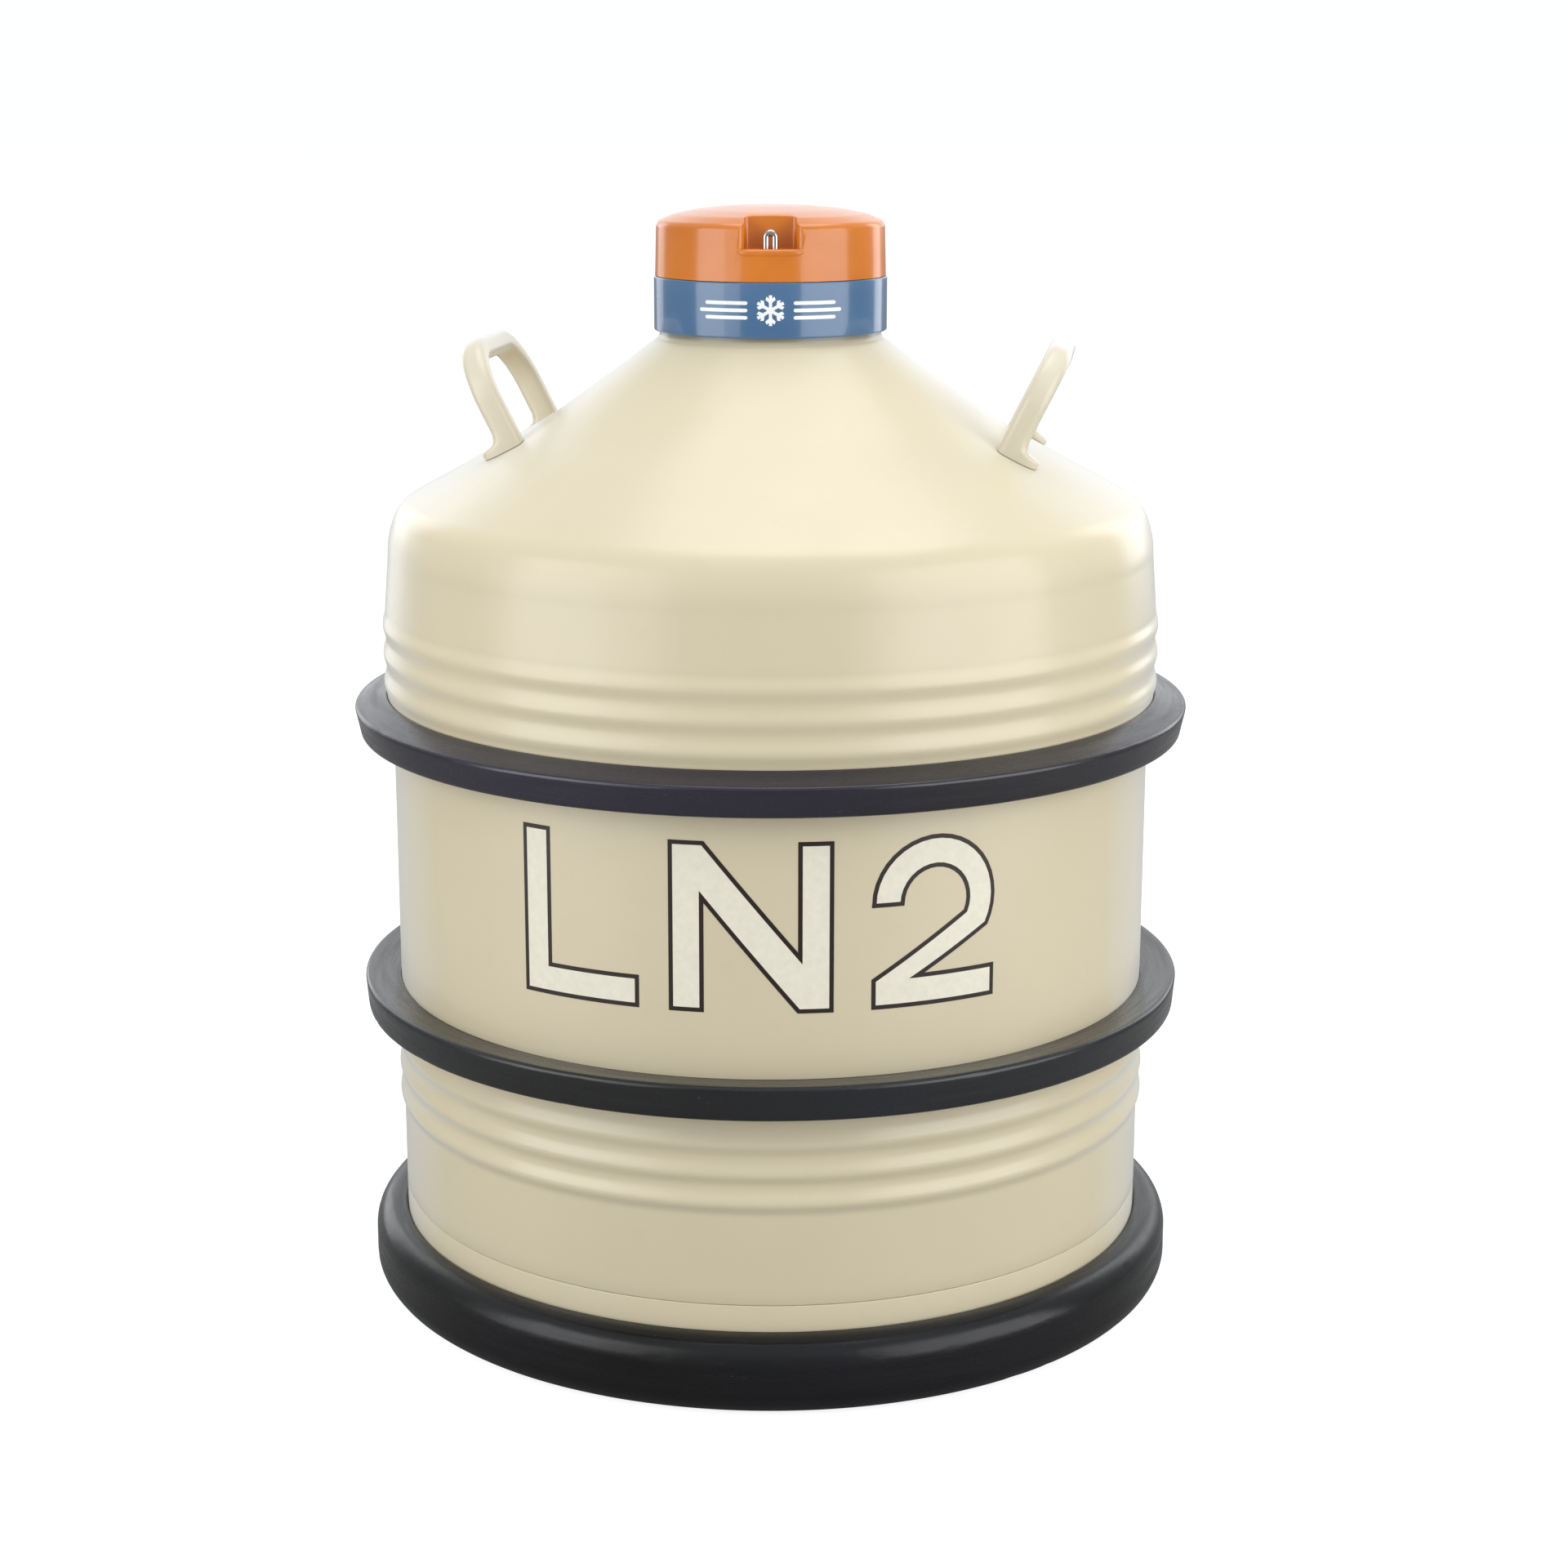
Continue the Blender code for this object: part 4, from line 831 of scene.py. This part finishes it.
def make_staple():
    box_low, box_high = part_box("lock_staple")
    half = (box_high.x - box_low.x) / 2.0 - STAPLE_WIRE_R
    top = box_high.z - STAPLE_WIRE_R
    bend = half * 0.98
    y = (box_low.y + box_high.y) / 2.0
    path = [(-half, box_low.z), (-half, top, bend, 14), (half, top, bend, 14), (half, box_low.z)]
    path = rounded(path)
    points = [Vector((x, y, z)) for x, z in path]
    side = Vector((0.0, 1.0, 0.0))
    angles = [2.0 * math.pi * k / 24 for k in range(24)]
    rows = []
    for i, here in enumerate(points):
        across = side.cross(heading(points, i))
        ring = [across * math.cos(a) + side * math.sin(a) for a in angles]
        rows.append([here + spoke * STAPLE_WIRE_R for spoke in ring])
    form = bmesh.new()
    loft(form, rows)
    finish_mesh("staple", form, chrome, VESSEL, ("lock_staple",))


def make_tube():
    box_low, box_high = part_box("neck_tube")
    outer, inner = box_high.x, 0.0254
    outline = rounded([
        (inner, box_low.z, 0.0006, 2), (outer, box_low.z), (outer, box_high.z, 0.0010, 5),
        (inner, box_high.z, 0.0012, 5),
    ])
    turned("neck_liner", outline, 96, green_laminate, VESSEL, ("neck_tube",))
    flange_low, flange_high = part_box("neck_flange")
    flange = [
        (outer + 0.0003, flange_low.z), (flange_high.x, flange_low.z),
        (flange_high.x, flange_high.z), (outer + 0.0003, flange_high.z, 0.0008, 3),
    ]
    made = turned("flange", rounded(flange), 96, alloy, VESSEL, ("neck_flange",))
    carve(made, deck_holes(flange_high.z + 0.001, 0.6148, 0.6174, 0.0023))


def make_vessel():
    radius = high("inner_vessel_upper").x
    wall = 0.0025
    split = high("inner_vessel_lower").z
    bottom = low("inner_vessel_lower").z
    top = high("inner_vessel_upper").z
    bore = 0.0288
    upper = [
        (radius, split + 0.0003), (radius, 0.4350, 0.0450, 14), (0.0318, 0.4920, 0.0060, 5),
        (0.0318, top), (bore, top), (bore, 0.4880), (radius - wall, 0.4320, 0.0425, 14),
        (radius - wall, split + 0.0003),
    ]
    turned("inner_upper", rounded(upper), 120, alloy, VESSEL, ("inner_vessel_upper",))
    lower = [
        (0.0, bottom), (radius, bottom + 0.0040, 0.0400, 14), (radius, split),
        (radius - wall, split), (radius - wall, bottom + 0.0040 + wall, 0.0375, 14),
        (0.0, bottom + wall),
    ]
    turned("inner_lower", rounded(lower), 120, alloy, VESSEL, ("inner_vessel_lower",))


# ---------------------------------------------------------------- evacuation port

def port_place():
    slope = math.atan2(CONE_BEND[1] - SHOULDER_KNUCKLE[1], SHOULDER_KNUCKLE[0] - CONE_BEND[0])
    radius = 0.1500
    height = CONE_BEND[1] - (radius - CONE_BEND[0]) * math.tan(slope)
    axis = Vector((0.0, math.sin(slope), math.cos(slope)))
    spin_to = Vector((0.0, 0.0, 1.0)).rotation_difference(axis).to_matrix().to_4x4()
    return Matrix.Translation((0.0, radius, height)) @ spin_to


def make_port():
    place = port_place()
    stub = rounded([
        (0.0045, -0.0070), (0.0060, -0.0070), (0.0060, 0.0006), (0.0115, 0.0006, 0.0004, 2),
        (0.0112, 0.0034, 0.0014, 5), (0.0072, 0.0040, 0.0012, 4), (0.0072, 0.0160, 0.0004, 2),
        (0.0045, 0.0160),
    ])
    turned("port_tube", stub, 48, alloy, VESSEL, ("port_stub",), place)
    plug = [(0.0, 0.0020), (0.0041, 0.0020), (0.0041, 0.0178)]
    plug += [(0.0068, 0.0178), (0.0068, 0.0196), (0.0, 0.0196)]
    turned("port_stopper", plug, 48, alloy, VESSEL, ("port_plug",), place)
    angles = [math.pi * k / 8 for k in range(16)]
    ring = [(0.0056 + 0.0007 * math.cos(a), 0.0169 + 0.0006 * math.sin(a)) for a in angles]
    turned("port_ring", ring, 48, seal_rubber, VESSEL, ("port_seal",), place)
    form = bmesh.new()
    outline = rounded([
        (0.0076, 0.0048), (0.0094, 0.0048, 0.0004, 2), (0.0094, 0.0224, 0.0014, 6), (0.0, 0.0224),
        (0.0, 0.0202), (0.0076, 0.0202),
    ])
    spin(form, outline, 144, place)
    back = place.inverted()
    for vert in form.verts:
        local = back @ vert.co
        radius = math.hypot(local.x, local.y)
        if radius > 0.0088 and 0.0056 < local.z < 0.0206:
            angle = math.atan2(local.y, local.x)
            lift = 0.0002 * math.cos(36.0 * angle)
            local.x *= (radius + lift) / radius
            local.y *= (radius + lift) / radius
            vert.co = place @ local
    finish_mesh("port_cover", form, black_plastic, VESSEL, ("port_cap",))


# ---------------------------------------------------------------- lid

NOTCH_FLOOR = 0.6455
NOTCH_BACK = 0.0535
NOTCH_HALF_BACK = 0.0153
NOTCH_HALF_FRONT = 0.0190
LID_WALL = 0.0030
LID_BOTTOM_R = 0.0694
LID_EDGE_R = 0.0686
LID_EDGE_Z = 0.6583
LID_ABOVE = 0.6900
BOSS_PLACES = [polar(0.0380, degrees) for degrees in (90.0, 210.0, 330.0)]
LIP_R = 0.0701
LIP_SIZE = 0.0021
LIP_REACH = 16.5


def lid_outline(wall, bottom, edge, steps):
    """Half the lid's section, set in by a wall. The edge is its top corner's radius."""
    corners = [
        (0.0, bottom), (LID_BOTTOM_R - wall, bottom),
        (LID_EDGE_R - wall, LID_EDGE_Z + 0.0003 - wall, edge, steps),
        (0.0580, 0.6629 - wall, 0.0220, 5), (0.0445, 0.6656 - wall, 0.0600, 4),
        (0.0230, 0.6677 - wall, 0.1200, 4), (0.0, LID_TOP - wall),
    ]
    return rounded(corners)


def notch_outline():
    """The notch in plan: a back with rounded corners, and sides that flare towards the front."""
    half = []
    angles = [math.radians(90.0 * k / 10) for k in range(11)]
    corner = 0.0030
    for angle in angles:
        x = NOTCH_HALF_BACK - corner * (1.0 - math.sin(angle))
        half.append((x, -NOTCH_BACK - corner * (1.0 - math.cos(angle))))
    flare = NOTCH_HALF_FRONT - NOTCH_HALF_BACK
    for angle in angles:
        x = NOTCH_HALF_BACK + flare * (1.0 - math.cos(angle))
        half.append((x, -0.0610 - 0.0052 * math.sin(angle)))
    half.append((NOTCH_HALF_FRONT, -0.0760))
    return mirrored(half)


def lip_form():
    """A rounded bead along the notch's lower front edge."""
    form = bmesh.new()
    rows = []
    count = 44
    centre_r = LIP_R - LIP_SIZE
    turns = [2.0 * math.pi * j / 20 for j in range(20)]
    for k in range(count + 1):
        share = -1.0 + 2.0 * k / count
        angle = math.radians(-90.0 + LIP_REACH * share)
        fade = math.sqrt(max(0.0, 1.0 - abs(share) ** 10))
        size = LIP_SIZE * max(0.12, fade)
        out = Vector((math.cos(angle), math.sin(angle), 0.0))
        row = []
        for turn in turns:
            height = NOTCH_FLOOR - LIP_SIZE + size * math.sin(turn)
            row.append(out * (centre_r + size * math.cos(turn)) + Vector((0.0, 0.0, height)))
        rows.append(row)
    loft(form, rows)
    return form


def soften_notch(obj, width):
    """Rounds the edges where the notch's walls meet the lid's outside."""
    form = bmesh.new()
    form.from_mesh(obj.data)
    bmesh.ops.remove_doubles(form, verts=form.verts, dist=2e-6)
    bmesh.ops.dissolve_degenerate(form, dist=2e-6, edges=form.edges)
    picked = []
    for edge in form.edges:
        if len(edge.link_faces) != 2 or not edge.is_convex:
            continue
        if edge.calc_face_angle(0.0) < math.radians(35.0):
            continue
        ends = [vert.co for vert in edge.verts]
        if min(p.z for p in ends) < 0.6560:
            continue
        if all(abs(p.x) < 0.0192 and p.y < -0.0530 for p in ends):
            picked.append(edge)
    bmesh.ops.bevel(
        form, geom=picked, offset=width, offset_type="OFFSET", segments=3, profile=0.5,
        affect="EDGES", clamp_overlap=True,
    )
    form.to_mesh(obj.data)
    form.free()
    smooth(obj)


def make_lid():
    cap = turned(
        "lid_shell", lid_outline(0.0, LID_BOTTOM, 0.0046, 10), NECK_SEGMENTS, orange, LID,
        ("lid_cap",),
    )
    hollow_form = bmesh.new()
    spin(hollow_form, lid_outline(LID_WALL, LID_BOTTOM - 0.001, 0.0021, 4), 96)
    hollow = solid_object(hollow_form, "hollow")
    housing = mirrored([(0.0190, -0.0503), (0.0222, -0.0720)])
    carve(hollow, prism(housing, NOTCH_FLOOR - LID_WALL, LID_ABOVE))
    boss_foot = high("lid_plate").z + 0.0003
    carve(hollow, cylinders([(x, y, 0.0050, boss_foot, LID_ABOVE) for x, y in BOSS_PLACES]))
    inside = bmesh.new()
    inside.from_mesh(hollow.data)
    bpy.data.objects.remove(hollow)
    carve(cap, inside)
    carve(cap, lip_form(), "UNION")
    carve(cap, prism(notch_outline(), NOTCH_FLOOR, LID_ABOVE))
    staple_y = middle("lock_staple").y
    slot = mirrored([(0.0055, staple_y + 0.0023), (0.0055, staple_y - 0.0023)])
    carve(cap, prism(slot, 0.6400, 0.6500))
    carve(cap, cylinders([(x, y, SCREW_HOLE_R, 0.6360, 0.6515) for x, y in BOSS_PLACES]))
    soften_notch(cap, 0.0011)


def hexagon(name, node):
    """A hexagonal nylon nut with chamfered corners top and bottom."""
    box_low, box_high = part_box(node)
    corner = (box_high.x - box_low.x) / 2.0
    height = box_high.z - box_low.z
    form = bmesh.new()
    outline = rounded([(0.0046, 0.0), (corner, 0.0), (corner, height), (0.0046, height)])
    spin(form, outline, 72, Matrix.Translation((0.0, 0.0, box_low.z)))
    half_flat = corner * math.cos(math.pi / 6.0)
    for vert in form.verts:
        radius = math.hypot(vert.co.x, vert.co.y)
        if radius < 0.0060:
            continue
        angle = math.atan2(vert.co.y, vert.co.x)
        sector = (angle % (math.pi / 3.0)) - math.pi / 6.0
        reach = half_flat / math.cos(sector)
        vert.co.x *= reach / radius
        vert.co.y *= reach / radius
    nut = finish_mesh(name, form, nylon, LID, (node,), FINE_SHARP)
    chamfer = bmesh.new()
    narrow, wide = half_flat - 0.0002, corner + 0.0003
    chamfer_outline = [
        (0.0, box_low.z - 0.001), (narrow, box_low.z - 0.001), (narrow, box_low.z),
        (wide, box_low.z + 0.0008), (wide, box_high.z - 0.0008), (narrow, box_high.z),
        (narrow, box_high.z + 0.001), (0.0, box_high.z + 0.001),
    ]
    spin(chamfer, chamfer_outline, 72)
    carve(nut, chamfer, "INTERSECT")


def make_plug():
    plug_low, plug_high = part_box("neck_plug")
    radius = plug_high.x
    bore = 0.0045
    outline = [(bore, plug_low.z), (radius, plug_low.z, 0.0022, 6)]
    for height in (0.5360, 0.5640, 0.5920):
        outline += [(radius, height - 0.0010, 0.0004, 2), (radius - 0.0009, height)]
        outline += [(radius, height + 0.0010, 0.0004, 2)]
    outline += [(radius, plug_high.z), (bore, plug_high.z)]
    turned("foam_plug", rounded(outline), 96, cream_foam, LID, ("neck_plug",))
    plate_low, plate_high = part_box("lid_plate")
    plate = [
        (0.0043, plate_low.z), (radius + 0.0040, plate_low.z),
        (radius + 0.0048, plate_low.z + 0.0006), (plate_high.x - 0.0070, plate_low.z + 0.0006),
        (plate_high.x - 0.0062, plate_low.z), (plate_high.x, plate_low.z, 0.0009, 4),
        (plate_high.x, plate_high.z, 0.0009, 4), (0.0043, plate_high.z),
    ]
    made = turned(
        "retaining_plate", rounded(plate), 128, white_plastic, LID, ("lid_plate",)
    )
    carve(made, cylinders([(x, y, SCREW_HOLE_R, 0.6300, 0.6400) for x, y in BOSS_PLACES]))
    stud_low, stud_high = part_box("plug_stud")
    stud = [(0.0, stud_low.z), (0.0034, stud_low.z), (0.0040, stud_low.z + 0.0007)]
    turns = 18
    pitch = 0.0010
    start = stud_low.z + 0.0010
    for k in range(turns):
        stud += [(0.0040, start + pitch * k), (0.0036, start + pitch * (k + 0.5))]
    stud += [(0.0040, start + pitch * turns), (0.0040, stud_high.z - 0.0008)]
    stud += [(0.0034, stud_high.z), (0.0, stud_high.z)]
    turned("stud", stud, SMALL_SEGMENTS, nylon, LID, ("plug_stud",), None, FINE_SHARP)
    washer_low, washer_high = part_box("plug_washer")
    washer = [
        (0.0045, washer_low.z), (washer_high.x, washer_low.z, 0.0004, 3),
        (washer_high.x, washer_high.z, 0.0004, 3), (0.0045, washer_high.z),
    ]
    turned("washer", rounded(washer), 64, nylon, LID, ("plug_washer",))
    hexagon("nut_lower", "plug_nut_lower")
    hexagon("nut_upper", "plug_nut_upper")


# ---------------------------------------------------------------- printed marks

INK_LIFT = 0.00002
STRIP = 0.0035


def offset_loop(points, distance):
    """A closed plan outline moved outwards by a distance, with square corners."""
    area = 0.0
    for (x0, y0), (x1, y1) in zip(points, points[1:] + points[:1]):
        area += x0 * y1 - x1 * y0
    sign = 1.0 if area > 0.0 else -1.0
    made = []
    for i, point in enumerate(points):
        here = Vector(point)
        before = (here - Vector(points[i - 1])).normalized()
        after = (Vector(points[(i + 1) % len(points)]) - here).normalized()
        first = Vector((before.y, -before.x)) * sign
        second = Vector((after.y, -after.x)) * sign
        made.append(tuple(here + (first + second) * distance / (1.0 + first.dot(second))))
    return made


def flat_form(loops, step):
    """A flat sheet inside the first loop and outside the others, cut into narrow upright strips."""
    form = bmesh.new()
    points = [[Vector((x, y, 0.0)) for x, y in loop] for loop in loops]
    verts = [form.verts.new(point) for loop in points for point in loop]
    for triangle in tessellate_polygon(points):
        form.faces.new([verts[k] for k in triangle])
    xs = [vert.co.x for vert in verts]
    edge = math.floor(min(xs) / step) * step + step
    while edge < max(xs):
        bmesh.ops.bisect_plane(
            form, geom=form.verts[:] + form.edges[:] + form.faces[:], dist=1e-7,
            plane_co=(edge, 0.0, 0.0), plane_no=(1.0, 0.0, 0.0),
        )
        edge += step
    return form


def print_mark(name, loop_sets, radius, centre_z, thickness, material):
    """A thin printed sheet wrapped on the cylinder of this radius, facing -Y."""
    form = bmesh.new()
    for loops in loop_sets:
        mesh = mesh_from(flat_form(loops, STRIP), "sheet")
        form.from_mesh(mesh)
        bpy.data.meshes.remove(mesh)
    bmesh.ops.remove_doubles(form, verts=form.verts, dist=1e-7)
    bmesh.ops.recalc_face_normals(form, faces=form.faces)
    made = bmesh.ops.extrude_face_region(form, geom=form.faces[:])
    for item in made["geom"]:
        if isinstance(item, bmesh.types.BMVert):
            item.co.z = thickness
    for vert in form.verts:
        angle = vert.co.x / radius - math.pi / 2.0
        reach = radius + INK_LIFT + vert.co.z
        vert.co = Vector((reach * math.cos(angle), reach * math.sin(angle), centre_z + vert.co.y))
    finish_mesh(name, form, material, VESSEL)


def arc(centre, radius, begin, end, steps):
    """Points round a centre, between two angles in degrees."""
    made = []
    for k in range(steps + 1):
        x, y = polar(radius, begin + (end - begin) * k / steps)
        made.append((centre[0] + x, centre[1] + y))
    return made


def glyph_l(x, width, height, bar):
    top, foot = height / 2.0, -height / 2.0
    shelf = foot + bar
    right = x + width
    return [(x, foot), (right, foot), (right, shelf), (x + bar, shelf), (x + bar, top), (x, top)]


def glyph_n(x, width, height, bar):
    top, foot = height / 2.0, -height / 2.0
    slant = bar * 1.05
    return [
        (x, foot), (x + bar, foot), (x + bar, top - bar * 1.75), (x + width - slant, foot),
        (x + width, foot), (x + width, top), (x + width - bar, top),
        (x + width - bar, foot + bar * 1.75), (x + slant, top), (x, top),
    ]


def glyph_two(x, width, height, bar, foot):
    outer = width / 2.0
    inner = outer - bar
    head = (x + outer, foot + height - outer)
    loop = [(x, foot), (x + width, foot), (x + width, foot + bar), (x + bar * 1.55, foot + bar)]
    loop += arc(head, outer, -28.0, 180.0, 22)
    loop += [(x + bar, head[1])]
    loop += arc(head, inner, 180.0, -24.0, 18)[1:]
    loop += [(x, foot + bar * 0.95)]
    return loop


def make_body_mark():
    middle_z = 0.2852
    height = 0.0960
    bar = 0.0165
    line = 0.0025
    glyphs = [
        glyph_l(-0.1480, 0.0720, height, bar),
        glyph_n(-0.0560, 0.0900, height, bar * 1.06),
        glyph_two(0.0580, 0.0740, height, bar, -height / 2.0),
    ]
    outlines = []
    fills = []
    for glyph in glyphs:
        outer = offset_loop(glyph, line / 2.0)
        inner = offset_loop(glyph, -line / 2.0)
        outlines.append([outer, inner])
        fills.append([inner])
    for name, loops, thickness, ink_used in (
        ("body_mark_fill", fills, 0.00010, pale_ink),
        ("body_mark_line", outlines, 0.00014, outline_ink),
    ):
        print_mark(name, loops, CYLINDER_R, middle_z, thickness, ink_used)


def rounded_bar(left, right, centre_y, height):
    loop = arc((left + height / 2.0, centre_y), height / 2.0, 90.0, 270.0, 10)
    return loop + arc((right - height / 2.0, centre_y), height / 2.0, -90.0, 90.0, 10)


def snowflake(radius, width):
    """Six barbed arms as one star-shaped outline."""
    half = width / 2.0
    barb = 0.30 * radius
    lean = Vector(polar(1.0, 52.0))
    root_x = 0.52 * radius
    side = [
        Vector((half / math.tan(math.radians(30.0)), -half)),
        Vector((root_x, -half)),
        Vector((root_x + barb * lean.x, -half - barb * lean.y)),
        Vector((root_x + barb * lean.x + width * 0.98, -half - barb * lean.y + width * 0.42)),
        Vector((root_x + width * 1.25, -half)),
        Vector((radius, -half)),
    ]
    points = side + [Vector((point.x, -point.y)) for point in reversed(side)][:-1]
    loop = []
    for k in range(6):
        turn = Matrix.Rotation(math.radians(60.0 * k + 90.0), 2)
        loop += [tuple(turn @ point) for point in points]
    return loop


def make_collar_mark():
    centre_z = 0.6105
    loops = [[snowflake(0.0088, 0.0019)]]
    for side in (-1.0, 1.0):
        for height, reach in ((0.0042, 0.0400), (0.0, 0.0440), (-0.0042, 0.0400)):
            ends = sorted((side * 0.0135, side * reach))
            loops.append([rounded_bar(ends[0], ends[1], height, 0.0021)])
    print_mark("collar_mark", loops, COLLAR_R, centre_z, 0.00010, white_ink)


# ---------------------------------------------------------------- assembly

make_dome()
make_cylinder()
make_rings()
make_handle("left_handle", "handle_left", -1.0)
make_handle("right_handle", "handle_right", 1.0)
make_collar()
for number in range(1, 5):
    make_screw(f"deck_screw_{number}", f"collar_screw_{number}", True)
for number in range(1, 4):
    make_screw(f"plate_screw_{number}", f"lid_screw_{number}", False)
make_staple()
make_tube()
make_vessel()
make_port()
make_lid()
make_plug()
make_body_mark()
make_collar_mark()

CARRIED = {
    "insulation_upper": silver_film,
    "insulation_lower": silver_film,
    "neck_shield_upper": alloy,
    "neck_shield_lower": alloy,
    "adsorbent_pack": sieve,
    "support_cup": alloy,
    "support_post": green_laminate,
}
for node, finish in CARRIED.items():
    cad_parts[node].data.materials.clear()
    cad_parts[node].data.materials.append(finish)


# ---------------------------------------------------------------- stage, light and camera

FLOOR_DROP = 0.0002
FLOOR_GLOW = 0.86
BACKDROP_GLOW = 1.06
WORLD_GLOW = 0.44
# Axis, start and end of the ramp along it, and what it adds to the world's glow.
WORLD_RAMPS = ((1, 0.55, 0.95, 0.75), (2, 0.15, 0.8, 0.35))
# Name, azimuth in degrees, distance, height, (width, height) and radiance.
SOFTBOXES = (
    ("softbox_left", -61.0, 1.45, 0.70, (0.78, 1.26), 2.2),
    ("softbox_left_front", -38.0, 1.45, 0.70, (0.46, 1.26), 1.3),
    ("softbox_right", 55.0, 1.45, 0.70, (1.40, 1.26), 2.05),
    ("softbox_rear_left", -140.0, 1.7, 0.7, (0.6, 1.2), 0.8),
    ("softbox_rear_right", 131.0, 1.6, 0.9, (0.5, 1.2), 1.5),
)
OVERHEAD_PLACE = (0.15, 0.175, 1.9)
CAMERA_PLACE = (0.0, -1.7918, 0.7416)
CAMERA_TILT = math.radians(76.5)


def camera_only(tree):
    """1 for what the camera sees directly, and 0 for light that falls on the object."""
    return tree.nodes.new("ShaderNodeLightPath").outputs["Is Camera Ray"]


def make_floor():
    look = Look("pale_floor", Roughness=0.9)
    look.colour(look.mix(look.noise(1.5, 2.0), (0.30, 0.30, 0.30), (0.33, 0.33, 0.33)))
    look.surface.inputs["Emission Color"].default_value = (1.0, 1.0, 1.0, 1.0)
    lift = look.maths("MULTIPLY", camera_only(look.tree), FLOOR_GLOW)
    look.feed(look.surface.inputs["Emission Strength"], lift)
    form = bmesh.new()
    bmesh.ops.create_grid(form, x_segments=24, y_segments=24, size=30.0)
    floor = add_object("floor", mesh_from(form, "floor"))
    floor.location = (0.0, 0.0, cad_low.z - FLOOR_DROP)
    floor.data.materials.append(look.material)


def area_light(name, spot, size, radiance):
    """A white rectangular light that faces straight down. The camera doesn't see it."""
    data = bpy.data.lights.new(name, "AREA")
    data.shape = "RECTANGLE"
    data.size, data.size_y = size
    data.energy = 4.0 * size[0] * size[1] * radiance
    light = add_object(name, data)
    light.location = spot
    light.visible_camera = False
    return light


def softbox(name, azimuth, distance, height, size, radiance):
    """A light facing the axis. Azimuth 0 is at the camera, and positive angles are to its right."""
    angle = math.radians(azimuth)
    spot = Vector((distance * math.sin(angle), -distance * math.cos(angle), height))
    light = area_light(name, spot, size, radiance)
    inward = Vector((0.0, 0.0, height)) - spot
    light.rotation_euler = inward.to_track_quat("-Z", "Y").to_euler()


def make_world():
    """Dim round the front, a pale backdrop behind, brighter overhead, and plain white to the camera."""
    world = bpy.data.worlds.new("studio")
    world.use_nodes = True
    tree = world.node_tree
    background = tree.nodes["Background"]
    background.inputs["Color"].default_value = (0.94, 0.97, 1.0, 1.0)
    split = tree.nodes.new("ShaderNodeSeparateXYZ")
    coords = tree.nodes.new("ShaderNodeTexCoord")
    tree.links.new(coords.outputs["Generated"], split.inputs[0])
    glow = None
    for axis, start, end, amount in WORLD_RAMPS:
        ramp = tree.nodes.new("ShaderNodeMapRange")
        ramp.interpolation_type = "SMOOTHSTEP"
        tree.links.new(split.outputs[axis], ramp.inputs["Value"])
        ramp.inputs["From Min"].default_value = start
        ramp.inputs["From Max"].default_value = end
        ramp.inputs["To Max"].default_value = amount
        total = tree.nodes.new("ShaderNodeMath")
        total.operation = "ADD"
        tree.links.new(ramp.outputs["Result"], total.inputs[0])
        if glow is None:
            total.inputs[1].default_value = WORLD_GLOW
        else:
            tree.links.new(glow, total.inputs[1])
        glow = total.outputs[0]
    choose = tree.nodes.new("ShaderNodeMix")
    tree.links.new(camera_only(tree), choose.inputs[0])
    tree.links.new(glow, choose.inputs[2])
    choose.inputs[3].default_value = BACKDROP_GLOW
    tree.links.new(choose.outputs[0], background.inputs["Strength"])
    bpy.context.scene.world = world


def make_camera():
    data = bpy.data.cameras.new("camera")
    data.lens = 67.5
    data.sensor_width = 36.0
    data.shift_x = 0.0086
    data.clip_start = 0.05
    data.clip_end = 100.0
    camera = add_object("camera", data)
    camera.location = CAMERA_PLACE
    camera.rotation_euler = (CAMERA_TILT, 0.0, 0.0)
    bpy.context.scene.camera = camera


make_floor()
make_world()
for row in SOFTBOXES:
    softbox(*row)
area_light("overhead", OVERHEAD_PLACE, (1.2, 1.15), 1.6)
make_camera()
bpy.context.scene.view_settings.view_transform = "Standard"
